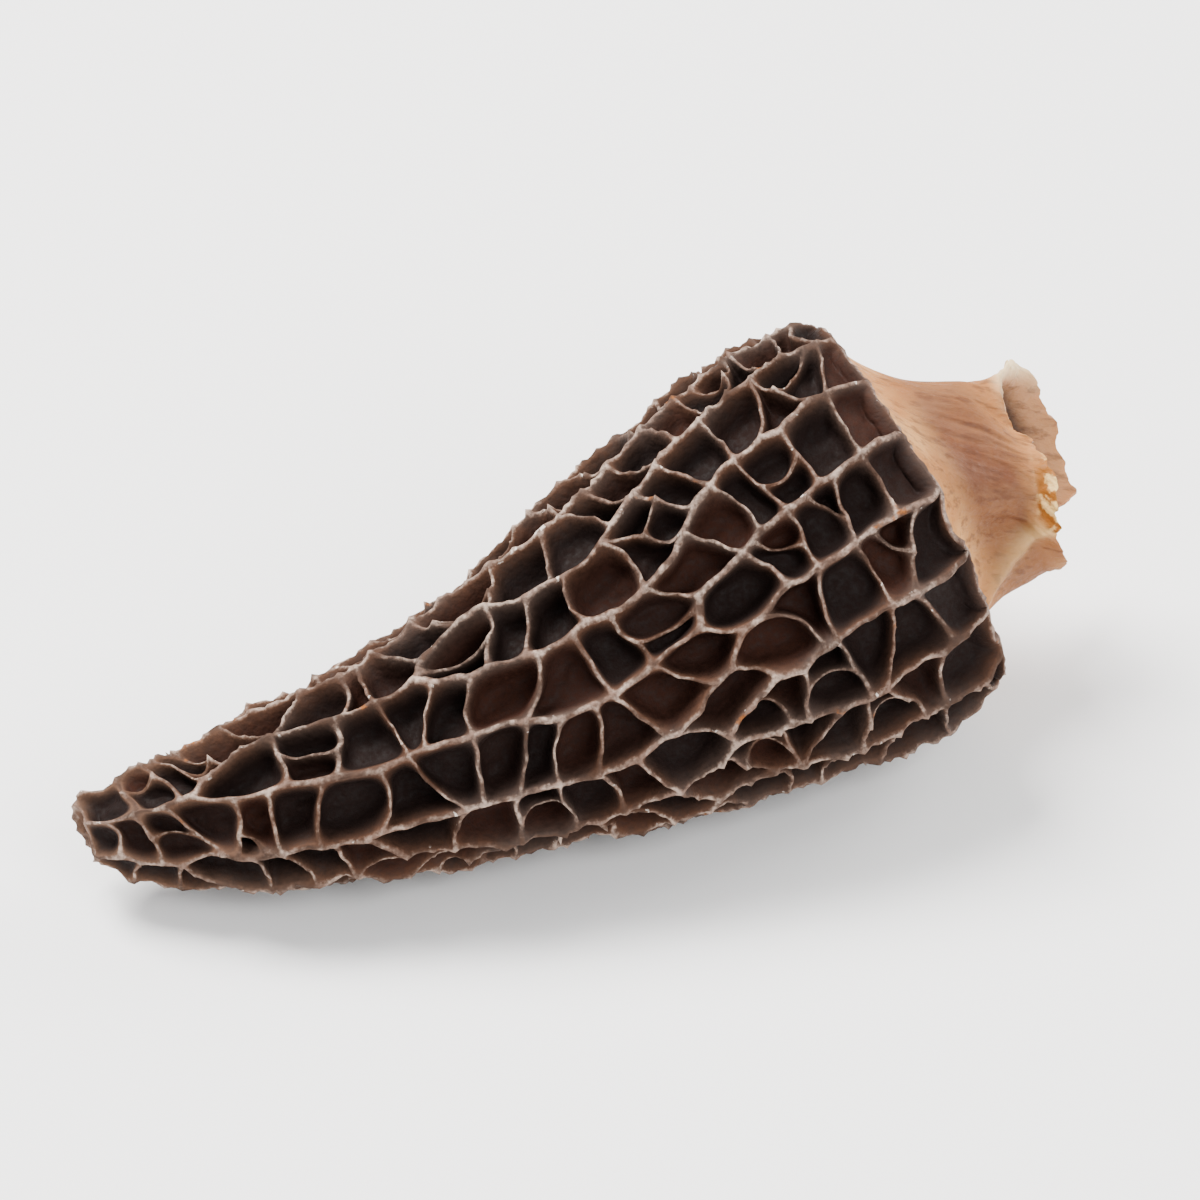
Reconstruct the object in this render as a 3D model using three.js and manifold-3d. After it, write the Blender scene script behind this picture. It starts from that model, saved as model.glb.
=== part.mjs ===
// Dried morel mushroom, lying on its side: a hollow conical cap covered by a raised net of ribs
// and cross walls, and the short cut stem, a collapsed hollow tube with a ragged open end.
// Millimetres, +Z up, the tip of the cap towards -X and the stem towards +X. The origin is on the
// surface that it lies on, under the middle of its bounding box.
import * as THREE from "three";
import { mergeVertices } from "three/addons/utils/BufferGeometryUtils.js";
import Module from "manifold-3d";

const wasm = await Module();
wasm.setup();

// Cap: [distance from the tip along the axis, radius over the ribs]
const CAP_PROFILE = [
  [0, 0],
  [0.4, 2.2],
  [2.4, 3.9],
  [9, 6.0],
  [20, 8.4],
  [32, 11.0],
  [44, 13.8],
  [52, 15.1],
  [57.2, 15.2],
  [60.4, 14.2],
  [61.0, 12.6],
];
const CAP_LENGTH = CAP_PROFILE.at(-1)[0];
const WIDTH_SHARE = 1.0; // the section is this share of the profile across
const HEIGHT_SHARE = 0.94; // and this share upwards
const PITCH_DEG = 9.2; // the axis climbs towards the stem, so that the lower side lies flat
const BEND = [0, -5.4, -0.5]; // how far the axis bows out of a straight line
const BEND_EARLY = 0.8; // below 1, it bows most in the half towards the tip
const BASE_SLANT = 1.5; // one side of the base stands out this much
const BASE_SLANT_DEG = 262; // in this direction round the axis
const BASE_SLANT_FROM = 40; // and only this far from the tip
const LUMPS = [
  // [share of the radius, lobes round the axis, radians per millimetre along it, phase]
  [0.026, 2, 0.12, 0.4],
  [0.022, 3, -0.09, 2.1],
  [0.014, 5, 0.16, 4.0],
];
const TRIM = 0.85; // how much of the ribs is pressed flat where the cap lies on the surface

// Net of ribs and cross walls
const LANES = 18; // rows of pits between lengthwise ribs, at the wide end
const LONG_LANES = 3; // one lane in this many runs all the way to the tip
const LANE_STARTS = [3, 42]; // where the other lanes begin, along the axis
const LANE_OPENS_OVER = 9; // the length in which a new lane reaches its full width
const LANE_HAS_PITS = 0.4; // from this share of its full width
const PIT_LENGTH = [2.5, 3.5]; // along a lane, at the tip and at the wide end
const PIT_LENGTH_FULL_AT = 30; // from this far along the axis, pits have their full length
const PIT_SPREAD = 0.42; // how much of its length a pit may gain or lose
const PIT_SWAY = 0.08; // how far a pit may shift sideways, as a share of a lane
const RIB_PULL = 1.5; // above 1, ribs run straighter than in a plain honeycomb
const SHORTEST_WALL = 0.85; // wall corners closer than this are joined
const NET_STARTS_AT = 1.9; // the radius of the last wall round the tip
const NET_END_GAP = 0.8; // no pit has its middle nearer than this to the base's edge
const PIT_DEPTH = 2.6;
const DEPTH_PER_RADIUS = 0.4; // pits near the tip are this share of the radius deep
const DEPTH_SPREAD = 0.1; // share of the depth that a pit may gain or lose
const EDGE_DEPTH = 0.45; // share of the depth that is left at the base's edge
const FADE_OVER = 4; // the length before the base in which pits get shallower
const RIM_SHARE = 0.17; // a rib's flat top reaches this far towards the pit's middle
const RIM_DROP = 0.32; // and lies this much lower there
const FLOOR_SHARE = 0.42; // its foot reaches this far
const RAGGED = 0.35; // how far a rib's top dips at random
const TIP_DIMPLE = 0.9; // the middle of the tip, along the axis
const SEED = 7;

// Hollow inside
const FLESH = 1.3; // from a pit's floor to the hollow
const HOLLOW_FROM = 9; // where it ends, from the tip
const HOLLOW_STATIONS = [10, 14, 20, 28, 36, 44, 51, 55.5]; // where its radius is set
const HOLLOW_NARROWS_AT = 59.2; // from here it is as narrow as the stem's throat
const THROAT = 5.4; // its radius where it passes into the stem

// Stem: [distance past the cap's base, radius]
const STEM_PROFILE = [
  [0, 11.3],
  [1.3, 9.2],
  [3.8, 7.3],
  [6.6, 6.6],
  [8.8, 6.8],
  [10.4, 7.3],
];
const STEM_LENGTH = STEM_PROFILE.at(-1)[0];
const STEM_WALL = 1.15;
const STEM_OFFSET = [0.3, 0.3]; // from the cap's axis to the stem's, to the back and up
const STEM_SAG = [-1.6, -1.6]; // and how far the stem's end has moved off that line
const STEM_FLAT = 0.8; // the collapsed section's short side over its long one
const STEM_FLAT_TILT_DEG = 51; // its long side from the horizontal
const STEM_LOBES = [
  [0.045, 3, 0.25, 0.8],
  [0.035, 5, -0.3, 2.6],
];
const KEEL = 1.1; // halfway along, the stem's lower side stands out this much
const KEEL_DEG = 230; // in this direction round the axis
const KEEL_WIDTH_DEG = 30;
const TORN_END = [
  // [direction round the axis in degrees, how much longer the torn end stands there]
  [0, 2.4],
  [24, 2.1],
  [51, 0.8],
  [66, -0.9],
  [94, -1.7],
  [141, -1.3],
  [162, -1.9],
  [181, -2.7],
  [231, -2.5],
  [262, -2.1],
  [283, -0.5],
  [298, 1.7],
  [321, 2.3],
  [345, 2.6],
  [360, 2.4],
];
const RAGGED_END = 0.2; // and how uneven it is besides
const SEAM = 0.3; // between cap and stem

// Fineness of the round surfaces
const HOLLOW_SIDES = 24;
const STEM_SIDES = 48;
const STEM_ROWS = 14;

const TURN = 2 * Math.PI;
const radians = THREE.MathUtils.degToRad;
const smooth = (low, high, value) => THREE.MathUtils.smoothstep(value, low, high);
const wrapped = (value, size) => ((value % size) + size) % size;
const anglesOf = (count) => Array.from({ length: count }, (_, i) => (TURN * i) / count);

// A repeatable run of numbers from 0 to 1
function seededNumbers(seed) {
  let state = seed;
  return () => {
    state = (Math.imul(state, 1664525) + 1013904223) >>> 0;
    return state / 4294967296;
  };
}

// The cap's profile by length along it, with the height in the flattened plane where the net is
// drawn: there a step is a share of the local radius, so that shapes keep their proportions.
const PROFILE_STEPS = 1200;
const profile = (() => {
  const curve = new THREE.SplineCurve(CAP_PROFILE.map(([s, r]) => new THREE.Vector2(s, r)));
  const rows = [];
  let along = 0;
  let height = 0;
  let last = curve.getPoint(0);
  for (let i = 0; i <= PROFILE_STEPS; i++) {
    const point = curve.getPoint(i / PROFILE_STEPS);
    const step = point.distanceTo(last);
    along += step;
    if (last.y > NET_STARTS_AT) height += (2 * step) / (point.y + last.y);
    rows.push({ along, height, s: point.x, r: point.y });
    last = point;
  }
  return rows;
})();
const NET_TOP = profile.at(-1).height;

// The profile where one of its rising columns reaches a value, with its slope
function profileAt(column, value) {
  let low = 0;
  let high = profile.length - 1;
  while (high - low > 1) {
    const middle = (low + high) >> 1;
    if (profile[middle][column] <= value) low = middle;
    else high = middle;
  }
  const [a, b] = [profile[low], profile[high]];
  const share = THREE.MathUtils.clamp((value - a[column]) / (b[column] - a[column] || 1), 0, 1);
  const between = (key) => a[key] + (b[key] - a[key]) * share;
  const slope = new THREE.Vector2(b.s - a.s, b.r - a.r).normalize();
  return {
    along: between("along"),
    height: between("height"),
    s: between("s"),
    r: between("r"),
    ds: slope.x,
    dr: slope.y,
  };
}

// The axis and the two directions across it
const pitch = radians(PITCH_DEG);
const ALONG = new THREE.Vector3(Math.cos(pitch), 0, Math.sin(pitch));
const BACK = new THREE.Vector3(0, 1, 0);
const UP = new THREE.Vector3(-Math.sin(pitch), 0, Math.cos(pitch));

function axisAt(s) {
  const share = THREE.MathUtils.clamp(s / CAP_LENGTH, 0, 1);
  const bow = Math.sin(Math.PI * Math.pow(share, BEND_EARLY));
  return ALONG.clone().multiplyScalar(s).addScaledVector(new THREE.Vector3(...BEND), bow);
}

function lumpiness(lumps, s, angle) {
  return lumps.reduce(
    (sum, [share, lobes, turns, phase]) => sum + share * Math.sin(lobes * angle + turns * s + phase),
    1,
  );
}

// A point in a section across the axis; towards the base the sections are slanted
function sectionPoint(s, back, up) {
  const direction = radians(BASE_SLANT_DEG);
  const share = smooth(BASE_SLANT_FROM, CAP_LENGTH, s) / CAP_PROFILE.at(-1)[1];
  const slant = BASE_SLANT * share * (back * Math.cos(direction) + up * Math.sin(direction));
  return axisAt(s).addScaledVector(ALONG, slant).addScaledVector(BACK, back).addScaledVector(UP, up);
}

// A point of the cap: the angle turns from the back (+Y) upwards
function capPoint(s, radius, angle) {
  const reach = radius * lumpiness(LUMPS, s, angle);
  return sectionPoint(s, reach * WIDTH_SHARE * Math.cos(angle), reach * HEIGHT_SHARE * Math.sin(angle));
}

// A point of the net's plane, lifted off the profile by a height
function netPoint([x, y], lift) {
  const at = profileAt("height", y);
  return capPoint(at.s - lift * at.dr, at.r + lift * at.ds, x / RIB_PULL);
}

// Where a lane of pits begins, and how wide it is there, as a share of a full lane
function laneWidth(lane, s) {
  const [first, last] = LANE_STARTS;
  const spread = (lane * 0.618034) % 1; // golden section, so that neighbours start far apart
  const isLong = lane % LONG_LANES === 0;
  const start = isLong ? -LANE_OPENS_OVER : first + spread * (last - first);
  return smooth(start, start + LANE_OPENS_OVER, s);
}

function laneMiddle(lane, s) {
  let before = 0;
  let all = 0;
  for (let k = 0; k < LANES; k++) {
    const width = laneWidth(k, s);
    if (k < lane) before += width;
    if (k === lane) before += width / 2;
    all += width;
  }
  return (TURN * before) / all;
}

// The middles of the pits, in the net's plane
function pitMiddles() {
  const random = seededNumbers(SEED);
  const middles = [];
  const first = profileAt("height", 0).along;
  const last = profile.at(-1).along - NET_END_GAP;
  for (let lane = 0; lane < LANES; lane++) {
    let along = first + random() * PIT_LENGTH[0];
    while (along < last) {
      const at = profileAt("along", along);
      const sway = (random() - 0.5) * 2 * PIT_SWAY;
      const stretch = 1 + (random() - 0.5) * 2 * PIT_SPREAD;
      if (laneWidth(lane, at.s) > LANE_HAS_PITS) {
        const angle = laneMiddle(lane, at.s) + (sway * TURN) / LANES;
        middles.push([angle * RIB_PULL, at.height]);
      }
      const full = Math.min(1, at.s / PIT_LENGTH_FULL_AT);
      along += stretch * THREE.MathUtils.lerp(...PIT_LENGTH, full);
    }
  }
  return middles;
}

// The side of a straight cut that is kept of a polygon: behind a point, against a direction
function cut(polygon, [mx, my], [dx, dy]) {
  const kept = [];
  polygon.forEach((a, i) => {
    const b = polygon[(i + 1) % polygon.length];
    const da = (a[0] - mx) * dx + (a[1] - my) * dy;
    const db = (b[0] - mx) * dx + (b[1] - my) * dy;
    if (da <= 0) kept.push(a);
    if (da <= 0 !== db <= 0) {
      const share = da / (da - db);
      kept.push([a[0] + (b[0] - a[0]) * share, a[1] + (b[1] - a[1]) * share]);
    }
  });
  return kept;
}

const AROUND = TURN * RIB_PULL; // once round the cap, in the net's plane
const sideways = (from, to) => {
  const dx = to - from;
  return dx - AROUND * Math.round(dx / AROUND);
};
const isEdge = ([, y]) => y < 1e-9 || y > NET_TOP - 1e-9;

// The region of the plane that is nearer to a pit's middle than to any other pit's
function pitRegion([x, y], middles) {
  const reach = AROUND / 3;
  let polygon = [
    [x - reach, 0],
    [x + reach, 0],
    [x + reach, NET_TOP],
    [x - reach, NET_TOP],
  ];
  for (const [ox, oy] of middles) {
    for (const turn of [-AROUND, 0, AROUND]) {
      const [dx, dy] = [ox + turn - x, oy - y];
      if (dx !== 0 || dy !== 0) polygon = cut(polygon, [x + dx / 2, y + dy / 2], [dx, dy]);
    }
  }
  return polygon;
}

// The net: its corners in the plane, and each pit's loop of corners
function makeNet() {
  const middles = pitMiddles();
  const corners = [];
  const cornerOf = (point) => {
    const same = ([x, y]) => Math.hypot(sideways(x, point[0]), y - point[1]) < 1e-6;
    const found = corners.findIndex(same);
    return found < 0 ? corners.push(point) - 1 : found;
  };
  const regions = middles.map((middle) => pitRegion(middle, middles).map(cornerOf));
  const joined = joinClose(corners, regions);
  const loops = regions
    .map((loop) => loop.map((c) => joined[c]))
    .map((loop) => loop.filter((c, i) => c !== loop[(i + 1) % loop.length]))
    .filter((loop) => loop.length > 2);
  return { corners, loops };
}

// Two corners with a very short wall between them become one, each corner at most once
function joinClose(corners, loops) {
  const joined = corners.map((_, i) => i);
  const used = new Set();
  for (const loop of loops) {
    loop.forEach((a, i) => {
      const b = loop[(i + 1) % loop.length];
      if (a === b || used.has(a) || used.has(b)) return;
      const [p, q] = [corners[a], corners[b]];
      const dx = sideways(p[0], q[0]);
      const scale = profileAt("height", (p[1] + q[1]) / 2).r;
      if (Math.hypot(dx / RIB_PULL, q[1] - p[1]) * scale > SHORTEST_WALL) return;
      used.add(a).add(b);
      joined[b] = a;
      const height = isEdge(p) ? p[1] : isEdge(q) ? q[1] : (p[1] + q[1]) / 2;
      corners[a] = [p[0] + dx / 2, height];
    });
  }
  return joined;
}

// Ribs and pits fade out towards the base's edge, and pits are shallower at the tip
const fade = (height) => 1 - smooth(CAP_LENGTH - FADE_OVER, CAP_LENGTH, profileAt("height", height).s);
function depthAt(height) {
  const full = Math.min(PIT_DEPTH, DEPTH_PER_RADIUS * profileAt("height", height).r);
  return full * (EDGE_DEPTH + (1 - EDGE_DEPTH) * fade(height));
}

// A closed mesh from shared points and triangles, as a solid
function solidFrom(points, triangles) {
  const geometry = new THREE.BufferGeometry().setFromPoints(points).setIndex(triangles.flat());
  const merged = mergeVertices(geometry, 1e-4);
  return new wasm.Manifold(
    new wasm.Mesh({
      numProp: 3,
      vertProperties: merged.attributes.position.array,
      triVerts: new Uint32Array(merged.index.array),
    }),
  );
}

// The cap's outside, ribs and pits, closed by a flat base
function capOutside() {
  const { corners, loops } = makeNet();
  const random = seededNumbers(SEED + 1);
  const points = corners.map((corner) => netPoint(corner, -RAGGED * random() * fade(corner[1])));
  const triangles = [];
  const add = (point) => points.push(point) - 1;
  const ring = (outer, inner) => {
    outer.forEach((a, i) => {
      const next = (i + 1) % outer.length;
      triangles.push([a, outer[next], inner[i]], [outer[next], inner[next], inner[i]]);
    });
  };
  for (const loop of loops) {
    const start = corners[loop[0]][0];
    const flat = loop.map((c) => [start + sideways(start, corners[c][0]), corners[c][1]]);
    const middle = [0, 1].map((k) => flat.reduce((sum, p) => sum + p[k], 0) / flat.length);
    const towards = (p, share) => p.map((value, k) => value + (middle[k] - value) * share);
    const depth = depthAt(middle[1]) * (1 + DEPTH_SPREAD * (2 * random() - 1));
    const rim = flat.map((p) => add(netPoint(towards(p, RIM_SHARE), -RIM_DROP * (0.5 + 0.5 * fade(p[1])))));
    const floor = flat.map((p) => add(netPoint(towards(p, FLOOR_SHARE), -depth)));
    ring(loop, rim);
    ring(rim, floor);
    for (let i = 1; i < floor.length - 1; i++) triangles.push([floor[0], floor[i], floor[i + 1]]);
  }
  // The tip is one shallow pit, and the base is closed flat
  const edgeAt = (height) =>
    [...new Set(loops.flat())]
      .filter((c) => Math.abs(corners[c][1] - height) < 1e-9)
      .sort((a, b) => wrapped(corners[a][0], AROUND) - wrapped(corners[b][0], AROUND));
  const [tip, base] = [edgeAt(0), edgeAt(NET_TOP)];
  const tipMiddle = add(capPoint(TIP_DIMPLE, 0, 0));
  const baseMiddle = add(capPoint(CAP_LENGTH, 0, 0));
  tip.forEach((c, i) => triangles.push([tip[(i + 1) % tip.length], c, tipMiddle]));
  base.forEach((c, i) => triangles.push([c, base[(i + 1) % base.length], baseMiddle]));
  return solidFrom(points, triangles);
}

// A closed bag: rings of points from one pole to another
function bagSolid(rings, first, last) {
  const size = rings[0].length;
  const points = [...rings.flat(), first, last];
  const [start, end] = [points.length - 2, points.length - 1];
  const top = (rings.length - 1) * size;
  const triangles = [];
  for (let i = 0; i < size; i++) {
    const next = (i + 1) % size;
    triangles.push([start, next, i], [top + i, top + next, end]);
    for (let a = 0; a < top; a += size) {
      const b = a + size;
      triangles.push([a + i, a + next, b + i], [a + next, b + next, b + i]);
    }
  }
  return solidFrom(points, triangles);
}

// The hollow in the cap, open at the base
function capHollow() {
  const angles = anglesOf(HOLLOW_SIDES);
  const radiusAt = (s) => {
    const { r } = profileAt("s", s);
    return r - (1 + DEPTH_SPREAD) * Math.min(PIT_DEPTH, DEPTH_PER_RADIUS * r) - FLESH;
  };
  const rings = HOLLOW_STATIONS.map((s) => angles.map((angle) => capPoint(s, radiusAt(s), angle)));
  for (const past of [HOLLOW_NARROWS_AT - CAP_LENGTH, 2]) {
    rings.push(angles.map((angle) => stemPoint(past, THROAT, angle)));
  }
  return bagSolid(rings, capPoint(HOLLOW_FROM, 0, 0), stemPoint(2, 0, 0));
}

// A point of the stem: its section is flattened along a tilted line, and it sits off the axis
function stemPoint(past, radius, angle) {
  const tilt = radians(STEM_FLAT_TILT_DEG);
  const reach = radius * lumpiness(STEM_LOBES, past, angle);
  const long = reach * Math.cos(angle - tilt);
  const short = reach * Math.sin(angle - tilt) * STEM_FLAT;
  const sag = Math.pow(Math.max(0, past) / STEM_LENGTH, 1.5);
  const back = STEM_OFFSET[0] + STEM_SAG[0] * sag + long * Math.cos(tilt) - short * Math.sin(tilt);
  const up = STEM_OFFSET[1] + STEM_SAG[1] * sag + long * Math.sin(tilt) + short * Math.cos(tilt);
  return sectionPoint(CAP_LENGTH, back, up).addScaledVector(ALONG, past);
}

// How much longer the torn end stands at an angle round the stem
function tornEnd(angle) {
  const degrees = THREE.MathUtils.radToDeg(angle);
  const after = TORN_END.findIndex(([direction]) => direction > degrees);
  const [[d0, a], [d1, b]] = TORN_END.slice(after - 1, after + 1);
  return a + ((b - a) * (degrees - d0)) / (d1 - d0) + RAGGED_END * Math.sin(7 * angle + 2.5);
}

// How far the stem's lower side stands out
function keel(share, angle) {
  const away = (angle - radians(KEEL_DEG)) / radians(KEEL_WIDTH_DEG);
  return KEEL * Math.sin(Math.PI * share) * Math.exp(-away * away);
}

function stemSolid() {
  const angles = anglesOf(STEM_SIDES);
  const curve = new THREE.SplineCurve(STEM_PROFILE.map(([s, r]) => new THREE.Vector2(s, r)));
  const ringAt = (share, thinner, longer) =>
    angles.map((angle) => {
      const at = curve.getPoint(share);
      const torn = tornEnd(angle) * smooth(0.5, 1, share);
      const radius = at.y + keel(share, angle) - thinner;
      return stemPoint(SEAM + at.x + torn + longer, radius, angle);
    });
  const outside = Array.from({ length: STEM_ROWS + 1 }, (_, i) => ringAt(i / STEM_ROWS, 0, 0));
  const whole = bagSolid(outside, stemPoint(SEAM, 0, 0), stemPoint(SEAM + STEM_LENGTH, 0, 0));
  const inside = [0.2, 0.4, 0.6, 0.8, 1].map((share) => ringAt(share, STEM_WALL, 0));
  inside.unshift(angles.map((angle) => stemPoint(-1, THROAT, angle)));
  inside.push(ringAt(1, STEM_WALL, STEM_LENGTH));
  const hollow = bagSolid(inside, stemPoint(-1, 0, 0), stemPoint(2.5 * STEM_LENGTH, 0, 0));
  return whole.subtract(hollow);
}

// Everything below a level, to press the lowest ribs flat
function below(level) {
  const size = 4 * CAP_LENGTH;
  return wasm.Manifold.cube([size, size, size], true).translate([0, 0, level - size / 2]);
}

// A solid as a named three.js mesh
function meshOf(name, solid, material) {
  const { vertProperties, triVerts } = solid.getMesh();
  const geometry = new THREE.BufferGeometry()
    .setAttribute("position", new THREE.BufferAttribute(vertProperties, 3))
    .setIndex(new THREE.BufferAttribute(triVerts, 1));
  geometry.computeVertexNormals();
  const mesh = new THREE.Mesh(geometry, material);
  mesh.name = name;
  return mesh;
}

const outside = capOutside();
const level = outside.boundingBox().min[2] + TRIM;
const capSolid = outside.subtract(capHollow()).subtract(below(level));

const darkFlesh = new THREE.MeshStandardMaterial({ color: 0x3b2c27, roughness: 0.85, metalness: 0 });
const paleFlesh = new THREE.MeshStandardMaterial({ color: 0xd9bf9c, roughness: 0.8, metalness: 0 });

const mushroom = new THREE.Group();
mushroom.add(meshOf("cap", capSolid, darkFlesh));
mushroom.add(meshOf("stem", stemSolid(), paleFlesh));

// The origin goes under the middle of the bounding box
const bounds = new THREE.Box3().setFromObject(mushroom);
const middle = bounds.getCenter(new THREE.Vector3());
mushroom.position.set(-middle.x, -middle.y, -bounds.min.z);

const morel = new THREE.Group();
morel.add(mushroom);
export default morel;
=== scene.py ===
"""Dried morel mushroom lying on its side, with its looks: the dark cap with a raised net of thin
walls round deep pits, and the pale, collapsed, torn stem.

Sizes are in millimetres until a mesh is made, which is in metres. The cap's net is laid out by the
same rule and the same numbers as in the part's source, so its walls run where the solid has them.
Then the walls are curved, some pits are parted by low walls, and the whole cap is slightly warped.
"""

import logging
import math
from dataclasses import dataclass, field
from enum import Enum
from typing import Callable, Dict, List, Sequence, Set, Tuple

import bpy
import numpy as np
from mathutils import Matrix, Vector


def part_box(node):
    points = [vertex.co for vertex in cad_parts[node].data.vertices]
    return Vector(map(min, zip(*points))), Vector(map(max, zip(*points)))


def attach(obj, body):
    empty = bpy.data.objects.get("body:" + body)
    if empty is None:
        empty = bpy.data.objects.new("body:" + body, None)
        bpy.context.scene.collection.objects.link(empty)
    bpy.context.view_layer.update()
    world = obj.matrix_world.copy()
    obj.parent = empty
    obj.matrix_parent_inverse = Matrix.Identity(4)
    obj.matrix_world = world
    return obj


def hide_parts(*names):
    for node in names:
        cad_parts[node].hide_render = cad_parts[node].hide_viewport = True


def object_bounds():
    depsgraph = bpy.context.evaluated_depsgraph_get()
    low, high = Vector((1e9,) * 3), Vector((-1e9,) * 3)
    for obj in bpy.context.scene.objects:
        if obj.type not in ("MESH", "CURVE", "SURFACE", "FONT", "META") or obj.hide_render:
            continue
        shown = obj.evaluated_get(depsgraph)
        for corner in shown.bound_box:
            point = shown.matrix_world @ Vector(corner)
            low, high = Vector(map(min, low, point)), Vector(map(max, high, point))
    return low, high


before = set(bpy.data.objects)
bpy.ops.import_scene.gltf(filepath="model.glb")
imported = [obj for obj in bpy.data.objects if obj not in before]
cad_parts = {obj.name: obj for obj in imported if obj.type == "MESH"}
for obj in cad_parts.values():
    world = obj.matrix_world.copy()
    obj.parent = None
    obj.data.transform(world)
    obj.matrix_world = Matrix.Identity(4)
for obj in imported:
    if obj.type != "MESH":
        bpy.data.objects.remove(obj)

CAD_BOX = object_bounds()
LOG = logging.getLogger("morel")
TURN = 2 * math.pi
MM = 0.001
Array = np.ndarray
Plane = Tuple[float, float]


class Wall(Enum):
    """The kinds of wall in the cap's net."""

    RIB = "rib"
    CROSS = "cross"
    LOW = "low"
    EDGE = "edge"


@dataclass(frozen=True)
class WallShape:
    """How one kind of wall is drawn, in millimetres.

    Attributes:
        half_width: half the thickness of its top.
        dip: least and most that its middle hangs below its ends.
        bow: how far it bends sideways, as a share of its length.
    """

    half_width: float
    dip: Tuple[float, float]
    bow: float


WALLS: Dict[Wall, WallShape] = {
    Wall.RIB: WallShape(0.18, (0.0, 0.5), 0.06),
    Wall.CROSS: WallShape(0.1, (0.2, 1.1), 0.13),
    Wall.LOW: WallShape(0.085, (0.5, 1.1), 0.13),
    Wall.EDGE: WallShape(0.3, (0.0, 0.3), 0.0),
}


def smooth(low: float, high: float, value: Array) -> Array:
    """Smooth step from 0 at low to 1 at high."""
    t = np.clip((np.asarray(value, float) - low) / (high - low), 0, 1)
    return t * t * (3 - 2 * t)


def spline(points: Sequence[Sequence[float]], share: Array) -> Array:
    """Points of a uniform Catmull-Rom curve.

    Args:
        points: the curve's control points.
        share: positions along it, from 0 to 1.

    Returns:
        One row per position.
    """
    fixed = np.asarray(points, float)
    last = len(fixed) - 1
    at = np.clip(np.asarray(share, float), 0, 1) * last
    low = np.floor(at).astype(int)
    t = (at - low)[..., None]
    p0 = fixed[np.where(low == 0, low, low - 1)]
    p1 = fixed[np.minimum(low, last)]
    p2 = fixed[np.where(low > last - 1, last, low + 1)]
    p3 = fixed[np.where(low > last - 2, last, low + 2)]
    v0, v1 = (p2 - p0) / 2, (p3 - p1) / 2
    return (2 * p1 - 2 * p2 + v0 + v1) * t**3 + (-3 * p1 + 3 * p2 - 2 * v0 - v1) * t**2 + v0 * t + p1


def seeded_numbers(seed: int) -> Callable[[], float]:
    """A repeatable run of numbers from 0 to 1, the same as in the part's source.

    Args:
        seed: chooses the run.

    Returns:
        A function that gives the next number at each call.
    """
    state = [seed]

    def draw() -> float:
        """The next number."""
        state[0] = (state[0] * 1664525 + 1013904223) & 0xFFFFFFFF
        return state[0] / 4294967296

    return draw


def lattice_noise(places: Array, seed: int) -> Array:
    """Smooth noise from -1 to 1 with features about one unit across.

    Args:
        places: rows of two or three coordinates.
        seed: chooses the pattern.

    Returns:
        One value per row.
    """
    places = np.atleast_2d(np.asarray(places, float))
    low = np.floor(places).astype(np.int64)
    t = places - low
    t = t * t * (3 - 2 * t)
    total = np.zeros(len(places))
    width = places.shape[1]
    for corner in range(2**width):
        weight = np.ones(len(places))
        mixed = np.full(len(places), seed * 7919 + 17, np.int64)
        for axis in range(width):
            step = (corner >> axis) & 1
            weight = weight * (t[:, axis] if step else 1 - t[:, axis])
            mixed = (mixed * 1000003 + (low[:, axis] + step) * 8191) & 0x7FFFFFFF
            mixed ^= mixed >> 13
        mixed = (mixed * 1274126177) & 0x7FFFFFFF
        mixed ^= mixed >> 16
        total += weight * ((mixed & 0xFFFF) / 32767.5 - 1)
    return total


def linear(code: str) -> Tuple[float, float, float, float]:
    """A colour given as six hex digits, in the linear values that Blender takes."""
    parts = [int(code[i : i + 2], 16) / 255 for i in (0, 2, 4)]
    return tuple(c / 12.92 if c <= 0.04045 else ((c + 0.055) / 1.055) ** 2.4 for c in parts) + (1.0,)


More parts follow.
